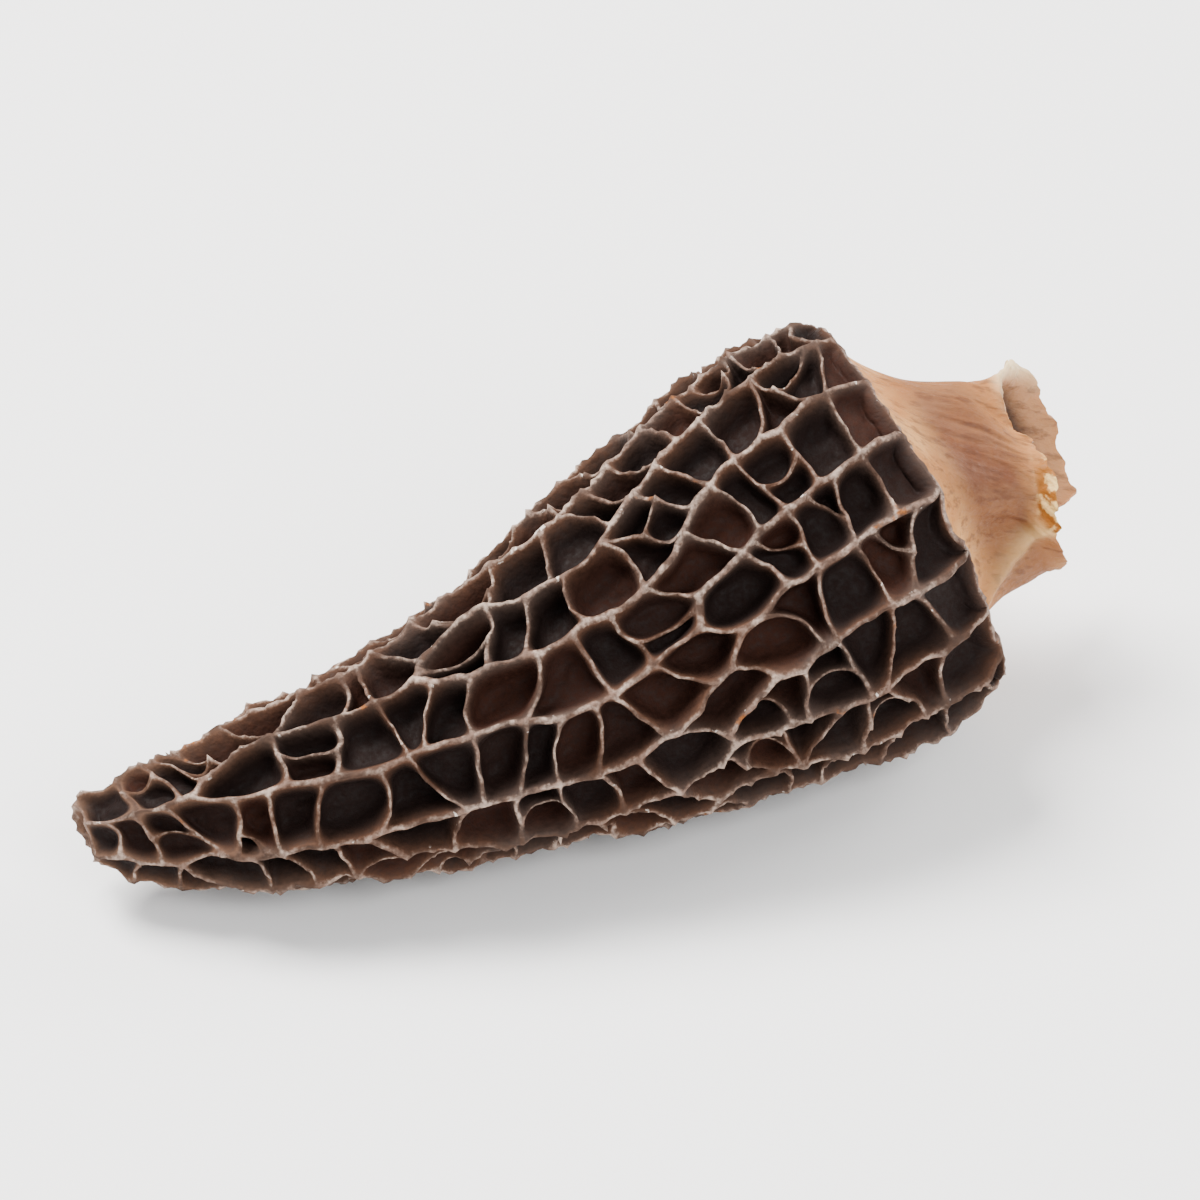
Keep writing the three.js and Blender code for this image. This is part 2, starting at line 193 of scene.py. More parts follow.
@dataclass
class CapForm:
    """The cap's large form: its profile, its bent axis and its lumpy section.

    Attributes:
        profile: distance from the tip along the axis, and the radius over the ribs there.
        width_share: the section across, as a share of the profile.
        height_share: the section upwards, as a share of the profile.
        pitch_deg: how steeply the axis climbs towards the stem.
        bend: how far the axis bows out of a straight line.
        bend_early: below 1, it bows most in the half towards the tip.
        base_slant: how far one side of the base stands out.
        base_slant_deg: the direction of that side.
        base_slant_from: where the slant begins, from the tip.
        lumps: each one's share of the radius, lobes, turns per millimetre and phase.
        trim: how much of the ribs is pressed flat on the surface that the cap lies on.
        net_starts_at: the radius of the last wall round the tip.
        rib_pull: above 1, ribs run straighter than in a plain honeycomb.
        steps: how finely the profile is measured.
        table: the measured profile.
    """

    profile: Tuple[Tuple[float, float], ...] = (
        (0, 0), (0.4, 2.2), (2.4, 3.9), (9, 6.0), (20, 8.4), (32, 11.0),
        (44, 13.8), (52, 15.1), (57.2, 15.2), (60.4, 14.2), (61.0, 12.6),
    )
    width_share: float = 1.0
    height_share: float = 0.94
    pitch_deg: float = 9.2
    bend: Tuple[float, float, float] = (0, -5.4, -0.5)
    bend_early: float = 0.8
    base_slant: float = 1.5
    base_slant_deg: float = 262
    base_slant_from: float = 40
    lumps: Tuple[Tuple[float, int, float, float], ...] = (
        (0.026, 2, 0.12, 0.4), (0.022, 3, -0.09, 2.1), (0.014, 5, 0.16, 4.0),
    )
    trim: float = 0.85
    net_starts_at: float = 1.9
    rib_pull: float = 1.5
    steps: int = 1200
    table: Dict[str, Array] = field(init=False, default_factory=dict)

    def __post_init__(self) -> None:
        """Measures the profile, with its height in the flattened plane of the net."""
        curve = spline(self.profile, np.arange(self.steps + 1) / self.steps)
        s, r = curve[:, 0], curve[:, 1]
        step = np.hypot(np.diff(s), np.diff(r))
        climb = np.where(r[:-1] > self.net_starts_at, 2 * step / (r[1:] + r[:-1]), 0)
        zero = np.zeros(1)
        self.table = {
            "along": np.concatenate([zero, np.cumsum(step)]),
            "height": np.concatenate([zero, np.cumsum(climb)]),
            "s": s,
            "r": r,
        }

    @property
    def length(self) -> float:
        """The cap's length along its axis."""
        return self.profile[-1][0]

    @property
    def top(self) -> float:
        """The height of the net's plane, from the tip to the base's edge."""
        return float(self.table["height"][-1])

    @property
    def around(self) -> float:
        """Once round the cap, in the net's plane."""
        return TURN * self.rib_pull

    def at(self, column: str, value: Array) -> Dict[str, Array]:
        """The profile where one of its rising columns reaches some values.

        Args:
            column: the column's name.
            value: the values.

        Returns:
            Every column there, and the slope as ds and dr.
        """
        value = np.asarray(value, float)
        rising = self.table[column]
        low = np.clip(np.searchsorted(rising, value, side="right") - 1, 0, len(rising) - 2)
        run = rising[low + 1] - rising[low]
        share = np.clip((value - rising[low]) / np.where(run == 0, 1, run), 0, 1)
        found = {k: c[low] + (c[low + 1] - c[low]) * share for k, c in self.table.items()}
        ds = self.table["s"][low + 1] - self.table["s"][low]
        dr = self.table["r"][low + 1] - self.table["r"][low]
        size = np.hypot(ds, dr)
        return {**found, "ds": ds / size, "dr": dr / size}

    def section(self, s: Array, back: Array, up: Array) -> Array:
        """Points in sections across the axis; towards the base the sections are slanted.

        Args:
            s: distances from the tip along the axis.
            back: distances from the axis towards the back.
            up: distances from the axis upwards.

        Returns:
            One point for each set of values.
        """
        s, back, up = np.broadcast_arrays(*(np.asarray(v, float) for v in (s, back, up)))
        pitch = math.radians(self.pitch_deg)
        along = np.array([math.cos(pitch), 0, math.sin(pitch)])
        upward = np.array([-math.sin(pitch), 0, math.cos(pitch)])
        share = np.clip(s / self.length, 0, 1)
        bow = np.sin(math.pi * share**self.bend_early)
        turn = math.radians(self.base_slant_deg)
        slant = self.base_slant * smooth(self.base_slant_from, self.length, s) / self.profile[-1][1]
        slant = slant * (back * math.cos(turn) + up * math.sin(turn))
        backward = np.array([0, 1.0, 0])
        return (
            (s + slant)[..., None] * along
            + bow[..., None] * np.array(self.bend)
            + back[..., None] * backward
            + up[..., None] * upward
        )

    def point(self, s: Array, radius: Array, angle: Array) -> Array:
        """Points of the cap; the angle turns from the back upwards.

        Args:
            s: distances from the tip along the axis.
            radius: distances from the axis, before the lumps.
            angle: directions round the axis.

        Returns:
            One point for each set of values.
        """
        s, radius, angle = np.broadcast_arrays(*(np.asarray(v, float) for v in (s, radius, angle)))
        reach = radius * lumpiness(self.lumps, s, angle)
        back = reach * self.width_share * np.cos(angle)
        return self.section(s, back, reach * self.height_share * np.sin(angle))

    def on_net(self, x: Array, y: Array, lift: Array) -> Array:
        """Points of the net's plane, lifted off the profile."""
        at = self.at("height", y)
        return self.point(at["s"] - lift * at["dr"], at["r"] + lift * at["ds"], np.asarray(x) / self.rib_pull)

    def sideways(self, start: Array, end: Array) -> Array:
        """The short way round from one x to another."""
        dx = np.asarray(end, float) - start
        return dx - self.around * np.round(dx / self.around)


def lumpiness(lumps: Sequence[Tuple[float, int, float, float]], s: Array, angle: Array) -> Array:
    """The share by which an uneven section's radius differs from a round one's.

    Args:
        lumps: each lump's share of the radius, lobes, turns per millimetre and phase.
        s: distances along the axis.
        angle: directions round it.

    Returns:
        What the radius is multiplied by.
    """
    total = np.ones(np.broadcast(s, angle).shape)
    for share, lobes, turns, phase in lumps:
        total = total + share * np.sin(lobes * angle + turns * s + phase)
    return total


@dataclass
class Net:
    """The layout of the cap's pits and walls in the flattened plane.

    Attributes:
        form: the cap's form.
        lanes: rows of pits between lengthwise ribs, at the wide end.
        long_lanes: one lane in this many runs all the way to the tip.
        lane_starts: between which places the other lanes begin.
        lane_opens_over: the length in which a new lane reaches its full width.
        lane_has_pits: the share of its full width from which it has pits.
        pit_length: at the tip and at the wide end.
        pit_length_full_at: from this far along the axis, pits have their full length.
        pit_spread: how much of its length a pit may gain or lose.
        pit_sway: how far a pit may shift sideways, as a share of a lane.
        shortest_wall: wall corners closer than this are joined.
        end_gap: no pit has its middle nearer than this to the base's edge.
        seed: chooses the layout.
        corners: the wall corners, once `lay` has run.
        loops: the corners round each pit.
        lane_of: the lane that each pit lies in.
    """

    form: CapForm
    lanes: int = 18
    long_lanes: int = 3
    lane_starts: Tuple[float, float] = (3, 42)
    lane_opens_over: float = 9
    lane_has_pits: float = 0.4
    pit_length: Tuple[float, float] = (2.5, 3.5)
    pit_length_full_at: float = 30
    pit_spread: float = 0.42
    pit_sway: float = 0.08
    shortest_wall: float = 0.85
    end_gap: float = 0.8
    seed: int = 7
    corners: List[Plane] = field(init=False, default_factory=list)
    loops: List[List[int]] = field(init=False, default_factory=list)
    lane_of: List[int] = field(init=False, default_factory=list)

    def lane_width(self, lane: int, s: float) -> float:
        """How wide a lane is at a distance along the axis, as a share of a full lane.

        Args:
            lane: the lane's number.
            s: the distance from the tip.

        Returns:
            A share from 0 to 1.
        """
        first, last = self.lane_starts
        spread = (lane * 0.618034) % 1
        start = -self.lane_opens_over if lane % self.long_lanes == 0 else first + spread * (last - first)
        return float(smooth(start, start + self.lane_opens_over, s))

    def lane_middle(self, lane: int, s: float) -> float:
        """The angle of a lane's middle."""
        widths = [self.lane_width(k, s) for k in range(self.lanes)]
        return TURN * (sum(widths[:lane]) + widths[lane] / 2) / sum(widths)

    def pit_middles(self) -> List[Tuple[float, float, int]]:
        """The middle of each pit in the plane, and its lane.

        Returns:
            One x, y and lane for each pit.
        """
        random = seeded_numbers(self.seed)
        middles = []
        first = float(self.form.at("height", 0)["along"])
        last = float(self.form.table["along"][-1]) - self.end_gap
        for lane in range(self.lanes):
            along = first + random() * self.pit_length[0]
            while along < last:
                at = self.form.at("along", along)
                s = float(at["s"])
                sway = (random() - 0.5) * 2 * self.pit_sway
                stretch = 1 + (random() - 0.5) * 2 * self.pit_spread
                if self.lane_width(lane, s) > self.lane_has_pits:
                    angle = self.lane_middle(lane, s) + (sway * TURN) / self.lanes
                    middles.append((angle * self.form.rib_pull, float(at["height"]), lane))
                full = min(1, s / self.pit_length_full_at)
                short, long = self.pit_length
                along += stretch * (short + (long - short) * full)
        return middles

    def pit_region(self, x: float, y: float, middles: List[Tuple[float, float, int]]) -> List[Plane]:
        """The polygon of the plane that is nearer to one middle than to any other.

        Args:
            x: the middle's x.
            y: the middle's height.
            middles: the middles of all pits.

        Returns:
            The polygon's corners, in order.
        """
        around, top = self.form.around, self.form.top
        reach = around / 3
        polygon = [(x - reach, 0.0), (x + reach, 0.0), (x + reach, top), (x - reach, top)]
        others = [(ox + turn - x, oy - y) for ox, oy, _ in middles for turn in (-around, 0, around)]
        for dx, dy in others:
            if dx == 0 and dy == 0:
                continue
            farthest = max(math.hypot(px - x, py - y) for px, py in polygon)
            if math.hypot(dx, dy) / 2 <= farthest + 1e-9:
                polygon = keep_behind(polygon, (x + dx / 2, y + dy / 2), (dx, dy))
        return polygon

    def lay(self) -> None:
        """Works out the corners and loops, and joins corners that are very close."""
        middles = self.pit_middles()
        regions = []
        for x, y, _ in middles:
            regions.append([self._corner_of(p) for p in self.pit_region(x, y, middles)])
        joined = self._join_close(regions)
        for (_, _, lane), loop in zip(middles, regions):
            loop = [joined[c] for c in loop]
            loop = [c for i, c in enumerate(loop) if c != loop[(i + 1) % len(loop)]]
            if len(loop) > 2:
                self.loops.append(loop)
                self.lane_of.append(lane)

    def _corner_of(self, point: Plane) -> int:
        """The index of the corner at a point, which is added if it is new.

        Args:
            point: the point in the plane.

        Returns:
            The corner's index.
        """
        if self.corners:
            known = np.array(self.corners)
            gap = np.hypot(self.form.sideways(known[:, 0], point[0]), known[:, 1] - point[1])
            found = np.flatnonzero(gap < 1e-6)
            if len(found):
                return int(found[0])
        self.corners.append(point)
        return len(self.corners) - 1

    def is_edge(self, corner: int) -> bool:
        """Whether a corner lies on the plane's upper or lower edge."""
        return self.corners[corner][1] < 1e-9 or self.corners[corner][1] > self.form.top - 1e-9

    def _join_close(self, regions: List[List[int]]) -> List[int]:
        """Makes two corners with a very short wall between them one, each at most once.

        Args:
            regions: the corners round each pit.

        Returns:
            For each corner, the one that stands for it now.
        """
        joined = list(range(len(self.corners)))
        used = set()
        for loop in regions:
            for i, a in enumerate(loop):
                b = loop[(i + 1) % len(loop)]
                if a == b or a in used or b in used:
                    continue
                p, q = self.corners[a], self.corners[b]
                dx = float(self.form.sideways(p[0], q[0]))
                scale = float(self.form.at("height", (p[1] + q[1]) / 2)["r"])
                if math.hypot(dx / self.form.rib_pull, q[1] - p[1]) * scale > self.shortest_wall:
                    continue
                used |= {a, b}
                joined[b] = a
                height = (p[1] + q[1]) / 2
                if self.is_edge(a):
                    height = p[1]
                elif self.is_edge(b):
                    height = q[1]
                self.corners[a] = (p[0] + dx / 2, height)
        return joined


def keep_behind(polygon: List[Plane], point: Plane, direction: Plane) -> List[Plane]:
    """The side of a straight cut that is kept of a polygon.

    Args:
        polygon: the polygon's corners, in order.
        point: a point of the cut.
        direction: the way out of the side that is kept.

    Returns:
        The corners of what is kept.
    """
    kept = []
    (mx, my), (dx, dy) = point, direction
    for i, a in enumerate(polygon):
        b = polygon[(i + 1) % len(polygon)]
        da = (a[0] - mx) * dx + (a[1] - my) * dy
        db = (b[0] - mx) * dx + (b[1] - my) * dy
        if da <= 0:
            kept.append(a)
        if (da <= 0) != (db <= 0):
            share = da / (da - db)
            kept.append((a[0] + (b[0] - a[0]) * share, a[1] + (b[1] - a[1]) * share))
    return kept


@dataclass
class Surface:
    """A mesh in the making: points, faces and one number per point for each mark."""

    points: List[Array] = field(default_factory=list)
    faces: List[Tuple[int, ...]] = field(default_factory=list)
    marks: Dict[str, List[Array]] = field(default_factory=dict)
    size: int = 0

    def add(self, points: Array, **marks: Array) -> Array:
        """Adds points.

        Args:
            points: rows of three coordinates in millimetres.
            marks: each mark's value at the points, one for all or one for each.

        Returns:
            The points' indices.
        """
        points = np.atleast_2d(points)
        self.points.append(points)
        for name in set(self.marks) | set(marks):
            values = np.broadcast_to(np.asarray(marks.get(name, 0.0), float), (len(points),))
            self.marks.setdefault(name, [np.zeros(self.size)] if self.size else []).append(values)
        self.size += len(points)
        return np.arange(self.size - len(points), self.size)

    def ring(self, outer: Array, inner: Array) -> None:
        """Joins two closed rings of the same length with quads."""
        after = np.roll(outer, -1), np.roll(inner, -1)
        self.faces += [tuple(int(v) for v in f) for f in zip(outer, after[0], after[1], inner)]

    def fan(self, loop: Array, middle: int) -> None:
        """Closes a ring with triangles to one point."""
        self.faces += [(int(a), int(b), int(middle)) for a, b in zip(loop, np.roll(loop, -1))]

    def make(self, name: str, shift: Array) -> bpy.types.Object:
        """Makes the Blender object, in metres.

        Args:
            name: the object's name.
            shift: what is added to every point first, in millimetres.

        Returns:
            The object, smooth shaded, with the marks as point attributes.
        """
        mesh = bpy.data.meshes.new(name)
        places = (np.vstack(self.points) + shift) * MM
        mesh.from_pydata(places.tolist(), [], self.faces)
        for mark, values in self.marks.items():
            layer = mesh.attributes.new(mark, "FLOAT", "POINT")
            layer.data.foreach_set("value", np.concatenate(values).astype(np.float32))
        mesh.polygons.foreach_set("use_smooth", [True] * len(mesh.polygons))
        mesh.validate()
        mesh.update()
        made = bpy.data.objects.new(name, mesh)
        bpy.context.scene.collection.objects.link(made)
        return made


class Shader:
    """Short calls for building a node material."""

    def __init__(self, name: str) -> None:
        """Starts a material with one principled shader.

        Args:
            name: the material's name.
        """
        self.material = bpy.data.materials.new(name)
        self.material.use_nodes = True
        self.tree = self.material.node_tree
        self.shader = self.tree.nodes["Principled BSDF"]

    def node(self, kind: str, **settings: object) -> bpy.types.Node:
        """A new node with some of its settings.

        Args:
            kind: the node's type, without ShaderNode.
            settings: values of the node's own properties.

        Returns:
            The node.
        """
        made = self.tree.nodes.new("ShaderNode" + kind)
        for key, value in settings.items():
            setattr(made, key, value)
        return made

    def feed(self, target: bpy.types.NodeSocket, value: object) -> None:
        """Gives a socket its value.

        Args:
            target: the socket.
            value: a number, a vector, a colour in six hex digits, or a socket to link.
        """
        if isinstance(value, bpy.types.NodeSocket):
            self.tree.links.new(value, target)
        else:
            target.default_value = linear(value) if isinstance(value, str) else value

    def set(self, name: str, value: object) -> None:
        """Gives one of the shader's own sockets its value."""
        self.feed(self.shader.inputs[name], value)

    def mark(self, name: str) -> bpy.types.NodeSocket:
        """One of the mesh's marks."""
        return self.node("Attribute", attribute_name=name).outputs["Fac"]

    def noise(self, size_mm: float, detail: float = 2, stretch: Sequence[float] = (1, 1, 1),
              turn: Sequence[float] = (0, 0, 0), rough: float = 0.5) -> bpy.types.NodeSocket:
        """Noise in the object's own space.

        Args:
            size_mm: how large its features are.
            detail: how many finer layers it has.
            stretch: how much longer the features are along each axis.
            turn: rotation of those axes in radians.
            rough: how strong the finer layers are.

        Returns:
            The noise's value, around 0.5.
        """
        place = self.node("TexCoord").outputs["Object"]
        if tuple(turn) != (0, 0, 0):
            place = self.mapped(place, "Rotation", turn)
        if tuple(stretch) != (1, 1, 1):
            place = self.mapped(place, "Scale", [1 / v for v in stretch])
        made = self.node("TexNoise")
        values = {"Scale": 1 / (size_mm * MM), "Detail": detail, "Roughness": rough, "Vector": place}
        for name, value in values.items():
            self.feed(made.inputs[name], value)
        return made.outputs["Fac"]

    def mapped(self, place: bpy.types.NodeSocket, how: str, value: Sequence[float]) -> bpy.types.NodeSocket:
        """A place that is turned or scaled.

        Args:
            place: the place.
            how: Rotation or Scale.
            value: the three angles or factors.

        Returns:
            The new place.
        """
        made = self.node("Mapping")
        self.feed(made.inputs[how], value)
        self.feed(made.inputs["Vector"], place)
        return made.outputs["Vector"]

    def remap(self, value: bpy.types.NodeSocket, low: float, high: float, to_low: float = 0,
              to_high: float = 1) -> bpy.types.NodeSocket:
        """A value stretched from one range to another, and clamped.

        Args:
            value: the value.
            low: where its range starts.
            high: where its range ends.
            to_low: what it gives at the start.
            to_high: what it gives at the end.

        Returns:
            The new value.
        """
        made = self.node("MapRange", interpolation_type="SMOOTHSTEP")
        keys = ("From Min", "From Max", "To Min", "To Max", "Value")
        for key, number in zip(keys, (low, high, to_low, to_high, value)):
            self.feed(made.inputs[key], number)
        return made.outputs["Result"]

    def math(self, operation: str, first: object, second: object) -> bpy.types.NodeSocket:
        """One sum of two values, clamped to 0 to 1.

        Args:
            operation: the sum's name.
            first: a number or a socket.
            second: a number or a socket.

        Returns:
            The result.
        """
        made = self.node("Math", operation=operation, use_clamp=True)
        self.feed(made.inputs[0], first)
        self.feed(made.inputs[1], second)
        return made.outputs[0]

    def mix(self, share: object, first: object, second: object) -> bpy.types.NodeSocket:
        """Two colours mixed by a share.

        Args:
            share: how much of the second there is.
            first: a colour or a socket.
            second: a colour or a socket.

        Returns:
            The mixed colour.
        """
        made = self.node("Mix", data_type="RGBA")
        share_socket, first_colour, second_colour, mixed_colour = 0, 6, 7, 2
        self.feed(made.inputs[share_socket], share)
        self.feed(made.inputs[first_colour], first)
        self.feed(made.inputs[second_colour], second)
        return made.outputs[mixed_colour]

    def bump(self, height: bpy.types.NodeSocket, distance_mm: float, strength: float,
             before: object = None) -> bpy.types.NodeSocket:
        """A bump from a height, on top of an earlier one.

        Args:
            height: the height, from 0 to 1.
            distance_mm: how high 1 stands.
            strength: how much of it shows.
            before: the earlier bump, if there is one.

        Returns:
            The bent normal.
        """
        made = self.node("Bump")
        for name, value in {"Strength": strength, "Distance": distance_mm * MM, "Height": height}.items():
            self.feed(made.inputs[name], value)
        if before is not None:
            self.feed(made.inputs["Normal"], before)
        return made.outputs["Normal"]


@dataclass(frozen=True)
class DarkFlesh:
    """The cap's finish: nearly black pits, brown walls and pale dried edges along their tops.

    Fields that end in _mm are the sizes of patches and grain.
    """

    pit: str = "190e0b"
    pit_warm: str = "321a11"
    wall: str = "503628"
    wall_grey: str = "4c3c34"
    top: str = "7a6154"
    top_light: str = "b19a8b"
    top_dull: str = "4a372d"
    speck: str = "cdc1b6"
    tan: str = "935729"
    worn: str = "6a4e3d"
    shade: str = "0d0705"
    blotch_mm: float = 7
    grain_mm: float = 0.42
    light_mm: float = 1.5
    dull_mm: float = 2.7
    tan_mm: float = 4.1
    speck_mm: float = 0.8
    wrinkle_mm: float = 1.3
    gloss: float = 0.12

    def make(self) -> bpy.types.Material:
        """Builds the material.

        Returns:
            The material, which reads the mesh's marks crest, tone and worn.
        """
        s = Shader("dark_flesh")
        crest, tone, worn = s.mark("crest"), s.mark("tone"), s.mark("worn")
        grain = s.noise(self.grain_mm, 4, rough=0.6)
        pit = s.mix(s.remap(tone, 0.4, 0.95), self.pit, self.pit_warm)
        wall = s.mix(s.remap(s.noise(self.blotch_mm, 3), 0.42, 0.62), self.wall, self.wall_grey)
        wall = s.mix(s.math("MULTIPLY", worn, 0.7), wall, self.worn)
        low = s.mix(s.remap(crest, 0.05, 0.55), pit, wall)
        top = s.mix(s.remap(s.noise(self.light_mm, 4, rough=0.65), 0.4, 0.62), self.top, self.top_light)
        top = s.mix(s.remap(s.noise(self.dull_mm, 4, rough=0.6), 0.46, 0.62), top, self.top_dull)
        top = s.mix(s.remap(s.noise(self.tan_mm, 4, rough=0.7), 0.62, 0.7), top, self.tan)
        edge = s.math("ADD", crest, s.remap(grain, 0.3, 0.7, -0.12, 0.12))
        colour = s.mix(s.remap(edge, 0.5, 0.95), low, top)
        colour = s.mix(s.remap(grain, 0.25, 0.75, 0.4, 0.0), colour, self.shade)
        specks = s.math("MULTIPLY", s.remap(s.noise(self.speck_mm, 3), 0.69, 0.74), s.remap(crest, 0.3, 0.8))
        s.set("Base Color", s.mix(specks, colour, self.speck))
        s.set("Roughness", s.remap(grain, 0.3, 0.75, 0.62, 0.92))
        grained = s.bump(grain, 0.16, 0.5)
        s.set("Normal", s.bump(s.noise(self.wrinkle_mm, 3), 0.35, 0.45, grained))
        s.set("Specular IOR Level", self.gloss)
        return s.material


@dataclass(frozen=True)
class PaleFlesh:
    """The stem's finish: cream, pinkish brown over its middle, amber along the torn edge, painted shade deep
    in the hollow and on the lower side beside the long crease, and a painted highlight on the upper side of
    the torn end.

    Fields that end in _mm are the sizes of patches and grain; `lengthwise` turns the wrinkles
    along the stem, and the fields that start with glow are the light that soaks into the flesh.
    """

    cream: str = "aa6f3a"
    cream_light: str = "c48d54"
    # painted highlight: the bright cream on the upper side of the torn end
    painted_highlight: str = "eed3a4"
    blush: str = "5f3319"
    blush_grey: str = "643c26"
    amber: str = "8c561a"
    amber_light: str = "e2bb78"
    line: str = "4f2a14"
    # painted shade: the darker reddish brown of the lower side beside the long crease
    under: str = "734324"
    inside: str = "a57550"
    # painted shade: the near-black that darkens the inside of the hollow stem further in
    deep: str = "2c170c"
    blotch_mm: float = 4.5
    fold_mm: float = 1.8
    patch_mm: float = 1.1
    wrinkle_mm: float = 0.6
    grain_mm: float = 0.35
    lengthwise: Tuple[float, float, float] = (0, -0.29, 0.34)
    gloss: float = 0.3
    glow: float = 0.12
    glow_tint: Tuple[float, float, float] = (1.0, 0.5, 0.3)
    glow_depth: float = 0.0012

    def make(self) -> bpy.types.Material:
        """Builds the material.

        Returns:
            The material, which reads the marks that `Stem` gives its mesh.
        """
        s = Shader("pale_flesh")
        # the light mark carries the painted highlight on the torn end's upper side
        middle, amber, light, fold = (s.mark(n) for n in ("middle", "amber", "light", "fold"))
        # two of these marks carry painted shade: on the lower side beside the crease, and deep in the hollow
        under, inner, deep = (s.mark(n) for n in ("under", "inside", "deep"))
        blotch = s.noise(self.blotch_mm, 3)
        wrinkle = s.noise(self.wrinkle_mm, 4, stretch=(4, 1, 1), turn=self.lengthwise, rough=0.6)
        broad = s.noise(self.fold_mm, 3, stretch=(2.6, 1, 1), turn=self.lengthwise)
        grain = s.noise(self.grain_mm, 3, rough=0.6)
        colour = s.mix(s.remap(blotch, 0.35, 0.65), self.cream, self.cream_light)
        blush = s.mix(s.remap(broad, 0.4, 0.62), self.blush, self.blush_grey)
        colour = s.mix(s.math("MULTIPLY", middle, s.remap(blotch, 0.25, 0.6, 0.7, 1.0)), colour, blush)
        colour = s.mix(s.math("MULTIPLY", inner, 0.75), colour, self.inside)
        # painted shade on the lower side, beside the long crease
        colour = s.mix(s.math("MULTIPLY", under, 0.6), colour, self.under)
        colour = s.mix(s.math("MULTIPLY", s.remap(wrinkle, 0.5, 0.66), 0.55), colour, self.line)
        # painted highlight on the upper side of the torn end
        colour = s.mix(s.math("MULTIPLY", light, 0.9), colour, self.painted_highlight)
        colour = s.mix(s.math("MULTIPLY", fold, 0.6), colour, self.amber_light)
        patchy = s.mix(s.remap(s.noise(self.patch_mm, 3), 0.45, 0.58), self.amber, self.amber_light)
        colour = s.mix(s.remap(amber, 0.1, 0.5), colour, patchy)
        # painted shade darkens the hollow's inside, away from the torn end
        s.set("Base Color", s.mix(deep, colour, self.deep))
        s.set("Roughness", s.remap(grain, 0.3, 0.7, 0.5, 0.75))
        folded = s.bump(broad, 0.5, 0.45, s.bump(wrinkle, 0.3, 0.65))
        s.set("Normal", s.bump(grain, 0.06, 0.4, folded))
        s.set("Specular IOR Level", self.gloss)
        s.set("Subsurface Weight", self.glow)
        s.set("Subsurface Radius", self.glow_tint)
        s.set("Subsurface Scale", self.glow_depth)
        return s.material


def nearness(angle: Array, degrees: float, width: float) -> Array:
    """1 at a direction round the stem, falling to 0 over about a width in radians."""
    gap = (angle - math.radians(degrees) + math.pi) % TURN - math.pi
    return np.exp(-((gap / width) ** 2))


@dataclass(frozen=True)
class Swell:
    """A rise, or below 0 a dent, along one direction round the stem.

    Attributes:
        height: what it adds to the radius, in millimetres.
        degrees: its direction.
        width: the radians over which it fades.
    """

    height: float
    degrees: float
    width: float

    def at(self, angle: Array) -> Array:
        """Its height at directions round the stem."""
        return self.height * nearness(angle, self.degrees, self.width)


@dataclass(frozen=True)
class Relief:
    """Noise laid on the stem.

    Attributes:
        height: how high it stands, in millimetres or as a share.
        around: how fine it is round the stem.
        along: how fine it is along the stem.
        seed: chooses the pattern.
    """

    height: float
    around: float
    along: float
    seed: int

    def at(self, turned: Array, share: float) -> Array:
        """Its height at points of a unit circle, at a share of the way along the stem."""
        places = self.around * turned + np.array([0, 0, self.along * share])
        return self.height * lattice_noise(places, self.seed)


